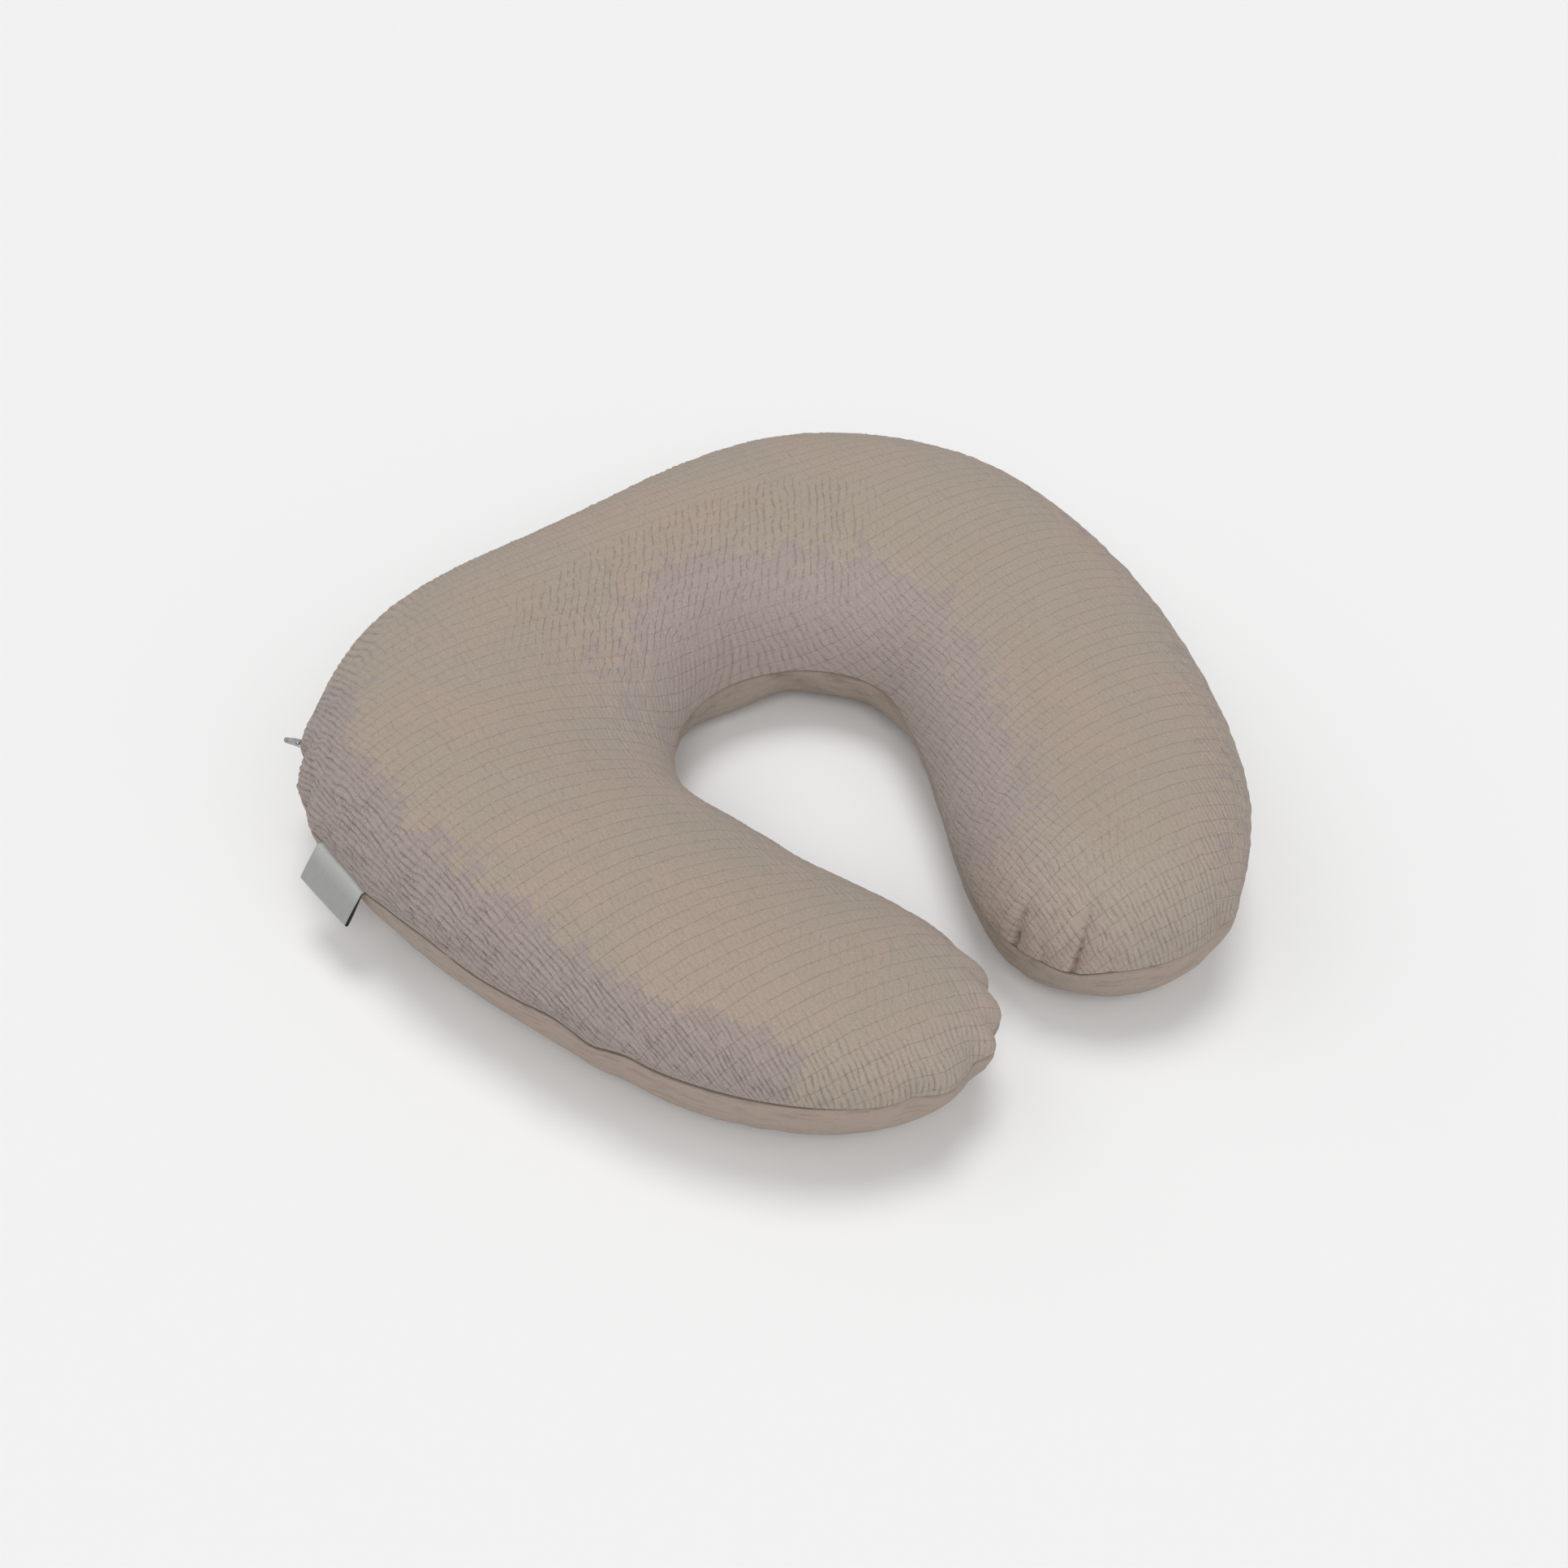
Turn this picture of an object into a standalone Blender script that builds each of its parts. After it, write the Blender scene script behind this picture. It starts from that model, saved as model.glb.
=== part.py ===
"""U-shaped nursing and body pillow: a filled cover, its zip and a bare ribbon label.

Metres, +Z up. The arms point along -Y, the back of the U lies towards +Y, and the pillow rests on
z = 0 with the origin under the middle of its box. The tables below are in millimetres.
"""
import math
from collections import namedtuple

import bmesh
import bpy
import numpy as np
from mathutils import Matrix, Vector

MM = 0.001
PART_NAME = "nursing_body_pillow"

# ---------------------------------------------------------------- driving sizes, millimetres
# One row for each cross section, from the left arm's end round the back to the right arm's end:
# where the seam runs on the outer and the inner side, and how far the crown rises over the seam.
Section = namedtuple("Section", "outer_x outer_y inner_x inner_y crown")
SECTIONS = (
    Section(-189, -260, -34, -144, 56),
    Section(-241, -170, -48, -110, 62),
    Section(-277, -81, -63, -77, 69),
    Section(-299, 14, -74, -42, 75),
    Section(-288, 102, -67, -4, 79),
    Section(-205, 196, -44, 30, 80),
    Section(-76, 222, -8, 51, 82),
    Section(48, 241, 32, 52, 83),
    Section(169, 235, 70, 35, 81),
    Section(269, 148, 96, -2, 80),
    Section(297, 24, 92, -47, 78),
    Section(285, -94, 79, -93, 76),
    Section(248, -205, 63, -134, 74),
    Section(205, -270, 49, -173, 73),
)
LEFT_NOSE = 142          # how far the left arm's rounded end runs on past the first section
RIGHT_NOSE = 98          # the same at the right arm, past the last section
OUTER_SEAM_HEIGHT = 64
INNER_SEAM_HEIGHT = 46
SEAM_DRAW_IN = 3.0       # how deep the seam is pulled in between the two panels
FOOT_SHARE = 0.5         # share of a section's half width that lies flat on the surface
TOP_POWER = 1.95         # 2 is an ellipse, more is squarer
LOW_POWER = 1.9

# Where the cover stands out (+) or is drawn in (-) along the seam, and where the seam climbs or
# dips. Places along the seam are in millimetres, counted from the left arm's first section up
# the left side, round the back, down the right arm and back through the hollow.
EdgeWave = namedtuple("EdgeWave", "place half_length out up")
EDGE_WAVES = (
    EdgeWave(47, 12, 0.5, 3.0),
    EdgeWave(75, 12, 0.0, -4.0),
    EdgeWave(104, 17, 1.0, 4.5),
    EdgeWave(160, 22, 0.0, -1.5),
    EdgeWave(208, 20, 1.0, 4.0),
    EdgeWave(268, 15, 0.0, -4.0),
    EdgeWave(336, 10, 3.0, 0.0),
    EdgeWave(352, 6, -2.5, 0.5),
    EdgeWave(372, 13, 3.5, -0.5),
    EdgeWave(396, 8, -2.0, 0.0),
    EdgeWave(415, 11, 4.0, 1.0),
    EdgeWave(470, 22, -2.0, -1.0),
    EdgeWave(1531, 10, 2.5, 0.5),
    EdgeWave(1546, 6, -2.0, 0.0),
    EdgeWave(2423, 8, -2.5, 0.0),
    EdgeWave(2440, 9, 3.0, 0.5),
    EdgeWave(2455, 7, -2.5, -0.5),
    EdgeWave(2471, 9, 3.5, 0.5),
    EdgeWave(2486, 6, -1.5, 0.0),
    EdgeWave(2498, 8, 4.0, -0.5),
    EdgeWave(2514, 8, -2.0, 0.0),
    EdgeWave(2541, 12, 3.0, 0.0),
    EdgeWave(2562, 10, -2.5, 0.0),
)
EDGE_WAVE_REACH = 26     # how far from the seam such a wave is still felt over the cover

# Pleats that rise from the seam over the arms' ends, and soft bulges of the lower panel inside
# the hollow. Lean is how far the pleat drifts along the seam by its far end.
Pleat = namedtuple("Pleat", "place lean length half_width depth")
PLEATS = (
    Pleat(1690, -14, 34, 6.5, 4.0),
    Pleat(1648, 10, 52, 7.0, 4.5),
    Pleat(1600, 6, 26, 6.0, 1.6),
    Pleat(1560, -5, 24, 6.0, 1.4),
    Pleat(2520, -8, 26, 7.0, 1.6),
    Pleat(2600, 6, 24, 8.0, 1.2),
)
PLEAT_FADE = 0.7         # how slowly a pleat dies away: 1 is evenly, less is later
PLEAT_LIP_SHARE = 0.6    # height of the lip beside the trough, as a share of the trough's depth
PLEAT_LIP_OFFSET = 1.7   # the lip's place beside the trough, in half widths
LowerBulge = namedtuple("LowerBulge", "place half_length out")
LOWER_BULGES = (
    LowerBulge(2052, 22, 4.0),
    LowerBulge(2015, 12, -1.5),
    LowerBulge(1985, 18, 2.5),
    LowerBulge(1945, 20, 3.5),
    LowerBulge(1905, 14, -1.5),
)

# Ribbon label, folded once and sewn into the outer seam by its two ends.
LABEL_FROM, LABEL_TO = 269, 322
LABEL_DROP = 26.5
LABEL_TILT = 54.0        # degrees below level
LABEL_SKEW = 1.3         # how much further its far end hangs than its middle
LABEL_THICKNESS = 0.5
LABEL_HALF_GAP = 1.5     # between its middle line and either layer, at the widest
LABEL_ROOT_HALF_GAP = 0.35
LABEL_FULLEST = 0.8      # where the gap is widest, as a share of the way down
LABEL_ROOT_DEPTH = 1.8   # how far inside the seam's rim it starts
LABEL_LEVEL_RUN = 2.2    # how far it stands straight out before it hangs
LABEL_CURL = 1.2         # how far its middle stands out beyond its two ends

# Zip: the closed tape lies in the seam's groove, the slider at its lower end.
ZIP_FROM, ZIP_TO = 424, 724
TAPE_HEIGHT, TAPE_THICKNESS = 5.0, 1.5
TAPE_FACE_SHARE = 0.6    # height of the tape's outer face, as a share of its back
GROOVE_HALF_HEIGHT = 8   # from the bottom of the seam's groove up to the cover's full width
SLIDER_PLACE = 418
SLIDER_LENGTH, SLIDER_HEIGHT, SLIDER_DEPTH, SLIDER_ROUNDING = 9.0, 8.0, 3.0, 0.7
BRIDGE_LENGTH, BRIDGE_WIDTH, BRIDGE_RISE, BRIDGE_ROUNDING = 6.6, 1.6, 2.8, 0.4
BRIDGE_SINK = 0.8        # how far the bridge runs down into the slider's body
BRIDGE_SLOT_LENGTH, BRIDGE_SLOT_HEIGHT = 4.4, 2.0
PULL_LENGTH, PULL_ROOT_WIDTH, PULL_TIP_WIDTH, PULL_THICKNESS = 12.5, 6.4, 4.4, 1.1
PULL_SWING = 15.0        # degrees from straight out, towards the closed zip
PULL_EYE_END = 3.4       # where the eye round the bridge ends
PULL_TAPER_FROM = 4.0    # where the plate starts to narrow
PULL_HOLE_RADIUS = 0.9
PULL_HOLE_EDGE = 2.6     # from the tip to the hole's centre
GAP = 0.4                # between pieces that meet

# ---------------------------------------------------------------- fineness of the solids
SECTION_STEPS = 9        # columns between two sections
NOSE_POINTS = 3          # guide points round an arm's end
NOSE_STEPS = 12          # columns between two of those
TOP_ANGLES = (90, 76, 63, 51, 40, 30, 21, 13, 6)
LOW_ANGLES = (8, 20, 35, 52, 70, 90)
LABEL_STEPS = 10         # rows down the label
LABEL_STATIONS = 11      # columns across it
LABEL_FOLD_TURNS = (45, 90, 135)
PULL_TIP_TURNS = range(-80, 81, 20)
PULL_HOLE_SIDES = 12

# ---------------------------------------------------------------- colours, sRGB 0 to 255
COVER_COLOUR = (170, 157, 143)
TAPE_COLOUR = (158, 146, 134)
LABEL_COLOUR = (196, 197, 195)
METAL_COLOUR = (150, 152, 154)


def clear_scene():
    for item in list(bpy.data.objects):
        bpy.data.objects.remove(item, do_unlink=True)


def new_collection(name):
    collection = bpy.data.collections.new(name)
    bpy.context.scene.collection.children.link(collection)
    return collection


def linear(channel):
    value = channel / 255
    if value <= 0.04045:
        return value / 12.92
    return ((value + 0.055) / 1.055) ** 2.4


def make_material(name, colour, roughness, metallic=0.0):
    material = bpy.data.materials.new(name)
    material.use_nodes = True
    shader = material.node_tree.nodes["Principled BSDF"]
    shader.inputs["Base Color"].default_value = (*[linear(c) for c in colour], 1.0)
    shader.inputs["Roughness"].default_value = roughness
    shader.inputs["Metallic"].default_value = metallic
    return material


# ---------------------------------------------------------------- curves through the table
def closed_curve(points, places):
    """Smooth closed curve through points; a whole-numbered place lies on a point."""
    points = np.asarray(points, float).reshape(len(points), -1)
    count = len(points)
    rows = np.arange(count)
    weights = np.zeros((count, count))
    weights[rows, rows] = 4 / 6
    weights[rows, (rows + 1) % count] += 1 / 6
    weights[rows, (rows - 1) % count] += 1 / 6
    control = np.linalg.solve(weights, points)
    places = np.asarray(places, float) % count
    start = np.floor(places).astype(int)
    f = (places - start)[:, None]
    return ((1 - f) ** 3 * control[(start - 1) % count]
            + (3 * f ** 3 - 6 * f ** 2 + 4) * control[start % count]
            + (-3 * f ** 3 + 3 * f ** 2 + 3 * f + 1) * control[(start + 1) % count]
            + f ** 3 * control[(start + 2) % count]) / 6


def there_and_back(values):
    """The values forwards and then backwards, so that a closed curve retraces itself."""
    values = np.asarray(values, float)
    return np.concatenate([values, values[-2:0:-1]])


def nose_points(outer, inner, length):
    """Guide points round an arm's end: half an ellipse from the outer to the inner side."""
    across = (outer - inner) / 2
    ahead = np.array([across[1], -across[0]]) / np.hypot(*across) * length
    turn = np.arange(1, NOSE_POINTS + 1) / (NOSE_POINTS + 1) * math.pi
    middle = (outer + inner) / 2
    return middle + np.cos(turn)[:, None] * across + np.sin(turn)[:, None] * ahead


def plan_columns():
    """Every column of the cover: its seam point, seam height, crest point and crown rise."""
    outer = np.array([(row.outer_x, row.outer_y) for row in SECTIONS], float)
    inner = np.array([(row.inner_x, row.inner_y) for row in SECTIONS], float)
    crown = np.array([row.crown for row in SECTIONS], float)
    middle = (outer + inner) / 2
    last = len(SECTIONS) - 1
    nose = NOSE_POINTS + 1

    edge = np.vstack([
        outer,
        nose_points(outer[-1], inner[-1], RIGHT_NOSE),
        inner[::-1],
        nose_points(outer[0], inner[0], -LEFT_NOSE)[::-1],
    ])
    share = np.arange(1, nose) / nose
    share = share * share * (3 - 2 * share)
    fall = INNER_SEAM_HEIGHT - OUTER_SEAM_HEIGHT
    heights = np.concatenate([
        np.full(last + 1, OUTER_SEAM_HEIGHT),
        OUTER_SEAM_HEIGHT + fall * share,
        np.full(last + 1, INNER_SEAM_HEIGHT),
        INNER_SEAM_HEIGHT - fall * share,
    ])

    along = np.arange(last * SECTION_STEPS) / SECTION_STEPS
    round_nose = np.arange(nose * NOSE_STEPS) / NOSE_STEPS
    places = np.concatenate([
        along,
        last + round_nose,
        last + nose + along,
        2 * last + nose + round_nose,
    ])
    stations = np.concatenate([
        along,
        np.full(len(round_nose), float(last)),
        last + along,
        np.zeros(len(round_nose)),
    ])
    seam = closed_curve(edge, places)
    height = closed_curve(heights, places)[:, 0]
    crest = closed_curve(there_and_back(middle), stations)
    rise = closed_curve(there_and_back(crown), stations)[:, 0]
    return seam, height, crest, rise


SEAM, SEAM_HEIGHT, CREST, RISE = plan_columns()


def seam_frame():
    """Outward direction at each column and its distance along the seam."""
    ahead = np.roll(SEAM, -1, 0) - np.roll(SEAM, 1, 0)
    ahead /= np.hypot(ahead[:, 0], ahead[:, 1])[:, None]
    outward = np.column_stack([-ahead[:, 1], ahead[:, 0]])
    steps = np.hypot(*(np.roll(SEAM, -1, 0) - SEAM).T)
    distance = np.concatenate([[0.0], np.cumsum(steps)[:-1]])
    return outward, distance, steps.sum()


OUTWARD, DISTANCE, SEAM_LENGTH = seam_frame()


def along_seam(place):
    """Signed distance of every column from a place on the seam, the short way round."""
    return (DISTANCE - place + SEAM_LENGTH / 2) % SEAM_LENGTH - SEAM_LENGTH / 2


def edge_offsets():
    """How far each column's edge stands out and climbs."""
    out = np.zeros(len(SEAM))
    up = np.zeros(len(SEAM))
    for wave in EDGE_WAVES:
        weight = np.exp(-(along_seam(wave.place) / wave.half_length) ** 2)
        out += wave.out * weight
        up += wave.up * weight
    return out, up


EDGE_OUT, EDGE_UP = edge_offsets()


# ---------------------------------------------------------------- the filled cover
def base_rows():
    """Rows of points from the crest over the top panel, seam and lower panel to under the foot."""
    mean_height = (OUTER_SEAM_HEIGHT + INNER_SEAM_HEIGHT) / 2
    edge = SEAM - CREST
    rows = []
    for degrees in TOP_ANGLES:
        angle = math.radians(degrees)
        reach = max(math.cos(angle), 0.0) ** (2 / TOP_POWER)
        lift = math.sin(angle) ** (2 / TOP_POWER)
        if degrees == 90:
            reach = 0.0
        height = mean_height + (SEAM_HEIGHT - mean_height) * reach + RISE * lift
        rows.append(np.column_stack([CREST + edge * reach, height]))
    rows.append(np.column_stack([SEAM - OUTWARD * SEAM_DRAW_IN, SEAM_HEIGHT]))
    for degrees in LOW_ANGLES:
        angle = math.radians(degrees)
        reach = FOOT_SHARE + (1 - FOOT_SHARE) * max(math.cos(angle), 0.0) ** (2 / LOW_POWER)
        drop = math.sin(angle) ** (2 / LOW_POWER)
        rows.append(np.column_stack([CREST + edge * reach, SEAM_HEIGHT * (1 - drop)]))
    rows.append(np.column_stack([CREST, np.zeros(len(CREST))]))
    return np.array(rows)


def surface_normals(rows):
    """Outward normals of the rows, with one-sided slopes at the crest and at the foot."""
    along = np.roll(rows, -1, 1) - np.roll(rows, 1, 1)
    down = np.gradient(rows, axis=0)
    normals = np.cross(down, along)
    lengths = np.linalg.norm(normals, axis=2, keepdims=True)
    return normals / np.maximum(lengths, 1e-9)


def shape_rows():
    """The cover's rows with the edge waves, pleats and lower bulges worked in."""
    rows = base_rows()
    seam_row = len(TOP_ANGLES)
    steps = np.linalg.norm(np.diff(rows, axis=0), axis=2)
    from_seam = np.zeros(rows.shape[:2])
    for row in range(seam_row - 1, -1, -1):
        from_seam[row] = from_seam[row + 1] + steps[row]
    for row in range(seam_row + 1, len(rows)):
        from_seam[row] = from_seam[row - 1] + steps[row - 1]
    foot_clear = np.clip(rows[:, :, 2] / SEAM_HEIGHT, 0, 1)

    push = np.zeros(rows.shape[:2])
    for pleat in PLEATS:
        share = np.clip(from_seam[:seam_row + 1] / pleat.length, 0, None)
        across = along_seam(pleat.place)[None, :] - pleat.lean * share
        fade = np.clip(1 - share, 0, 1) ** PLEAT_FADE
        trough = np.exp(-(across / pleat.half_width) ** 2)
        lip = np.exp(-(across / pleat.half_width - PLEAT_LIP_OFFSET) ** 2)
        push[:seam_row + 1] += pleat.depth * fade * (PLEAT_LIP_SHARE * lip - trough)
    for bulge in LOWER_BULGES:
        weight = np.exp(-(along_seam(bulge.place) / bulge.half_length) ** 2)[None, :]
        belly = np.sin(np.pi * foot_clear[seam_row:])
        push[seam_row:] += bulge.out * weight * belly

    # The crest stays where it is, and so does the flat foot.
    standing = foot_clear > 0
    standing[0] = False
    rows = rows + surface_normals(rows) * (push * standing)[:, :, None]

    near_seam = np.exp(-(from_seam / EDGE_WAVE_REACH) ** 2) * np.minimum(1, 2 * foot_clear)
    near_seam *= standing
    rows[:, :, :2] += OUTWARD[None, :, :] * (EDGE_OUT[None, :] * near_seam)[:, :, None]
    rows[:, :, 2] += EDGE_UP[None, :] * near_seam
    return rows


def make_pillow(collection):
    rows = shape_rows() * MM
    mesh_data = bmesh.new()
    rings = [[mesh_data.verts.new(point) for point in row] for row in rows]
    count = len(rings[0])
    for upper, lower in zip(rings[:-1], rings[1:]):
        for column in range(count):
            beside = (column + 1) % count
            mesh_data.faces.new((upper[column], lower[column], lower[beside], upper[beside]))
    bmesh.ops.remove_doubles(mesh_data, verts=mesh_data.verts, dist=0.01 * MM)
    bmesh.ops.recalc_face_normals(mesh_data, faces=mesh_data.faces)
    mesh = bpy.data.meshes.new("pillow")
    mesh_data.to_mesh(mesh)
    mesh_data.free()
    mesh.shade_smooth()
    pillow = bpy.data.objects.new("pillow", mesh)
    pillow.data.materials.append(make_material("cover_cloth", COVER_COLOUR, 0.9))
    collection.objects.link(pillow)
    return pillow


# ---------------------------------------------------------------- what lies along the seam
def seam_point(place):
    """Point on the seam's rim, in millimetres, and the outward direction there."""
    at = np.array([place])
    full = np.append(DISTANCE, SEAM_LENGTH)

    def read(values):
        values = np.vstack([values, values[:1]])
        return np.array([np.interp(at, full, values[:, k])[0] for k in range(values.shape[1])])

    outward = read(OUTWARD)
    outward /= np.hypot(*outward)
    edge = read(SEAM) + outward * read(EDGE_OUT[:, None])
    height = read((SEAM_HEIGHT + EDGE_UP)[:, None])[0]
    return Vector((edge[0], edge[1], height)), Vector((outward[0], outward[1], 0.0))


def label_outline():
    """The folded ribbon's closed section: steps out from the seam, steps down, and layer gap."""
    tilt = math.radians(LABEL_TILT)
    middle = []
    for step in range(LABEL_STEPS + 1):
        share = step / LABEL_STEPS
        run = (LABEL_DROP + LABEL_ROOT_DEPTH) * share - LABEL_ROOT_DEPTH
        level = min(run, LABEL_LEVEL_RUN)
        slant = max(run - LABEL_LEVEL_RUN, 0.0)
        opening = math.sin(math.pi / 2 * share / LABEL_FULLEST)
        half_gap = LABEL_ROOT_HALF_GAP + (LABEL_HALF_GAP - LABEL_ROOT_HALF_GAP) * opening
        middle.append((level + slant * math.cos(tilt), slant * math.sin(tilt), half_gap))
    upper = []
    lower = []
    for step, (out, down, half_gap) in enumerate(middle):
        before = middle[max(step - 1, 0)]
        after = middle[min(step + 1, LABEL_STEPS)]
        along = Vector((after[0] - before[0], after[1] - before[1])).normalized()
        side = Vector((along.y, -along.x))
        upper.append((out + side.x * half_gap, down + side.y * half_gap))
        lower.append((out - side.x * half_gap, down - side.y * half_gap))
    fold = []
    out, down, half_gap = middle[-1]
    along = Vector((math.cos(tilt), math.sin(tilt)))
    side = Vector((along.y, -along.x))
    for turn in LABEL_FOLD_TURNS:
        angle = math.radians(turn)
        spot = Vector((out, down)) + (side * math.cos(angle) + along * math.sin(angle)) * half_gap
        fold.append((spot.x, spot.y))
    return upper + fold + lower[::-1]


def make_label(collection):
    """The ribbon's root follows the seam; below it the ribbon straightens to its flat fold."""
    outline = label_outline()
    fold_depth = max(down for _, down in outline)
    shares = [station / (LABEL_STATIONS - 1) for station in range(LABEL_STATIONS)]
    roots = [seam_point(LABEL_FROM + (LABEL_TO - LABEL_FROM) * share)[0] for share in shares]
    chord = roots[-1] - roots[0]
    square = Vector((-chord.y, chord.x, 0)).normalized()
    mesh_data = bmesh.new()
    rings = []
    for share, root in zip(shares, roots):
        straight = roots[0] + chord * share
        curl = LABEL_CURL * math.sin(math.pi * share)
        stretch = 1 + LABEL_SKEW / LABEL_DROP * (2 * share - 1)
        ring = []
        for step_out, step_down in outline:
            hung = max(step_down, 0.0) / fold_depth
            base = root.lerp(straight, hung) + square * (step_out * stretch + curl * hung)
            ring.append(mesh_data.verts.new((base - Vector((0, 0, step_down * stretch))) * MM))
        rings.append(ring)
    for first, second in zip(rings[:-1], rings[1:]):
        for column in range(len(outline)):
            beside = (column + 1) % len(outline)
            mesh_data.faces.new((first[column], first[beside], second[beside], second[column]))
    bmesh.ops.recalc_face_normals(mesh_data, faces=mesh_data.faces)
    mesh = bpy.data.meshes.new("label")
    mesh_data.to_mesh(mesh)
    mesh_data.free()
    mesh.shade_smooth()
    label = bpy.data.objects.new("label", mesh)
    label.data.materials.append(make_material("label_satin", LABEL_COLOUR, 0.45))
    wall = label.modifiers.new("ribbon", "SOLIDIFY")
    wall.thickness = LABEL_THICKNESS * MM
    wall.offset = 0
    collection.objects.link(label)
    return label


def groove_depth(half_height):
    """How far inside the seam's rim a piece of this half height clears the groove's walls."""
    return SEAM_DRAW_IN * (1 - half_height / GROOVE_HALF_HEIGHT) - GAP


def make_tape(collection):
    """The closed zip lies in the groove and follows the same columns as the cover."""
    columns = [k for k in range(len(SEAM)) if ZIP_FROM <= DISTANCE[k] <= ZIP_TO]
    half = TAPE_HEIGHT / 2
    face = half * TAPE_FACE_SHARE
    back = groove_depth(half)
    front = back - TAPE_THICKNESS
    profile = ((back, -half), (front, -face), (front, face), (back, half))
    mesh_data = bmesh.new()
    rings = []
    for column in columns:
        edge = SEAM[column] + OUTWARD[column] * EDGE_OUT[column]
        height = SEAM_HEIGHT[column] + EDGE_UP[column]
        ring = []
        for inset, up in profile:
            spot = edge - OUTWARD[column] * inset
            ring.append(mesh_data.verts.new(Vector((spot[0], spot[1], height + up)) * MM))
        rings.append(ring)
    for first, second in zip(rings[:-1], rings[1:]):
        for corner in range(4):
            beside = (corner + 1) % 4
            mesh_data.faces.new((first[corner], first[beside], second[beside], second[corner]))
    mesh_data.faces.new(rings[0])
    mesh_data.faces.new(rings[-1])
    bmesh.ops.recalc_face_normals(mesh_data, faces=mesh_data.faces)
    mesh = bpy.data.meshes.new("zip_tape")
    mesh_data.to_mesh(mesh)
    mesh_data.free()
    tape = bpy.data.objects.new("zip_tape", mesh)
    tape.data.materials.append(make_material("zip_cloth", TAPE_COLOUR, 0.8))
    collection.objects.link(tape)
    return tape


def slider_frame():
    """Slider axes: X along the seam towards the closed zip, Y down, Z straight out."""
    point, out = seam_point(SLIDER_PLACE)
    down = Vector((0, 0, -1))
    turn = Matrix((down.cross(out), down, out)).transposed()
    base = point - out * groove_depth(SLIDER_HEIGHT / 2)
    return Matrix.Translation(base * MM) @ turn.to_4x4()


def add_box(name, size, centre, collection, rounding=0.0):
    bpy.ops.mesh.primitive_cube_add(size=1)
    box = bpy.context.object
    box.name = name
    for vertex in box.data.vertices:
        vertex.co = Vector([vertex.co[k] * size[k] * MM for k in range(3)])
    box.data.update()
    if rounding:
        edge = box.modifiers.new("rounded", "BEVEL")
        edge.width = rounding * MM
        edge.segments = 2
    box.matrix_world = slider_frame() @ Matrix.Translation(Vector(centre) * MM)
    for owner in list(box.users_collection):
        owner.objects.unlink(box)
    collection.objects.link(box)
    return box


def make_slider(collection, cutters):
    """Slider body with the bridge that holds the pull."""
    body_size = (SLIDER_LENGTH, SLIDER_HEIGHT, SLIDER_DEPTH)
    body_centre = (0, 0, SLIDER_DEPTH / 2)
    body = add_box("zip_slider", body_size, body_centre, collection, SLIDER_ROUNDING)
    bridge_size = (BRIDGE_LENGTH, BRIDGE_WIDTH, BRIDGE_RISE + BRIDGE_SINK)
    bridge_centre = (0, 0, SLIDER_DEPTH + (BRIDGE_RISE - BRIDGE_SINK) / 2)
    bridge = add_box("bridge_shape", bridge_size, bridge_centre, cutters, BRIDGE_ROUNDING)
    slot_size = (BRIDGE_SLOT_LENGTH, BRIDGE_WIDTH * 3, BRIDGE_SLOT_HEIGHT)
    slot_centre = (0, 0, SLIDER_DEPTH + BRIDGE_SLOT_HEIGHT / 2)
    slot = add_box("bridge_slot", slot_size, slot_centre, cutters)
    for name, operation, tool in (("bridge", "UNION", bridge), ("slot", "DIFFERENCE", slot)):
        step = body.modifiers.new(name, "BOOLEAN")
        step.operation = operation
        step.solver = "EXACT"
        step.object = tool
        tool.hide_render = True
        tool.display_type = "WIRE"
    body.data.materials.append(make_material("zip_metal", METAL_COLOUR, 0.35, 0.9))
    return body


def add_spline(curve, points):
    """Closed outline of straight runs through points given in millimetres."""
    spline = curve.splines.new("POLY")
    spline.points.add(len(points) - 1)
    for target, (x, y) in zip(spline.points, points):
        target.co = (x * MM, y * MM, 0, 1)
    spline.use_cyclic_u = True


def pull_outline():
    """Tapered plate with a round tip, from the root bar along +X."""
    bar = PULL_THICKNESS / 2
    root = PULL_ROOT_WIDTH / 2
    tip = PULL_TIP_WIDTH / 2
    points = [(-bar, -root), (PULL_TAPER_FROM, -root)]
    for turn in PULL_TIP_TURNS:
        angle = math.radians(turn)
        points.append((PULL_LENGTH - tip + tip * math.cos(angle), tip * math.sin(angle)))
    return points + [(PULL_TAPER_FROM, root), (-bar, root)]


def pull_eye():
    """The slot that passes round the slider's bridge."""
    bar = PULL_THICKNESS / 2
    half = BRIDGE_WIDTH / 2 + GAP
    return [(bar, -half), (bar, half), (PULL_EYE_END, half), (PULL_EYE_END, -half)]


def pull_hole():
    """The small round hole near the tip."""
    centre = PULL_LENGTH - PULL_HOLE_EDGE
    points = []
    for side in range(PULL_HOLE_SIDES):
        angle = -side / PULL_HOLE_SIDES * 2 * math.pi
        points.append((centre + PULL_HOLE_RADIUS * math.cos(angle),
                       PULL_HOLE_RADIUS * math.sin(angle)))
    return points


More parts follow.
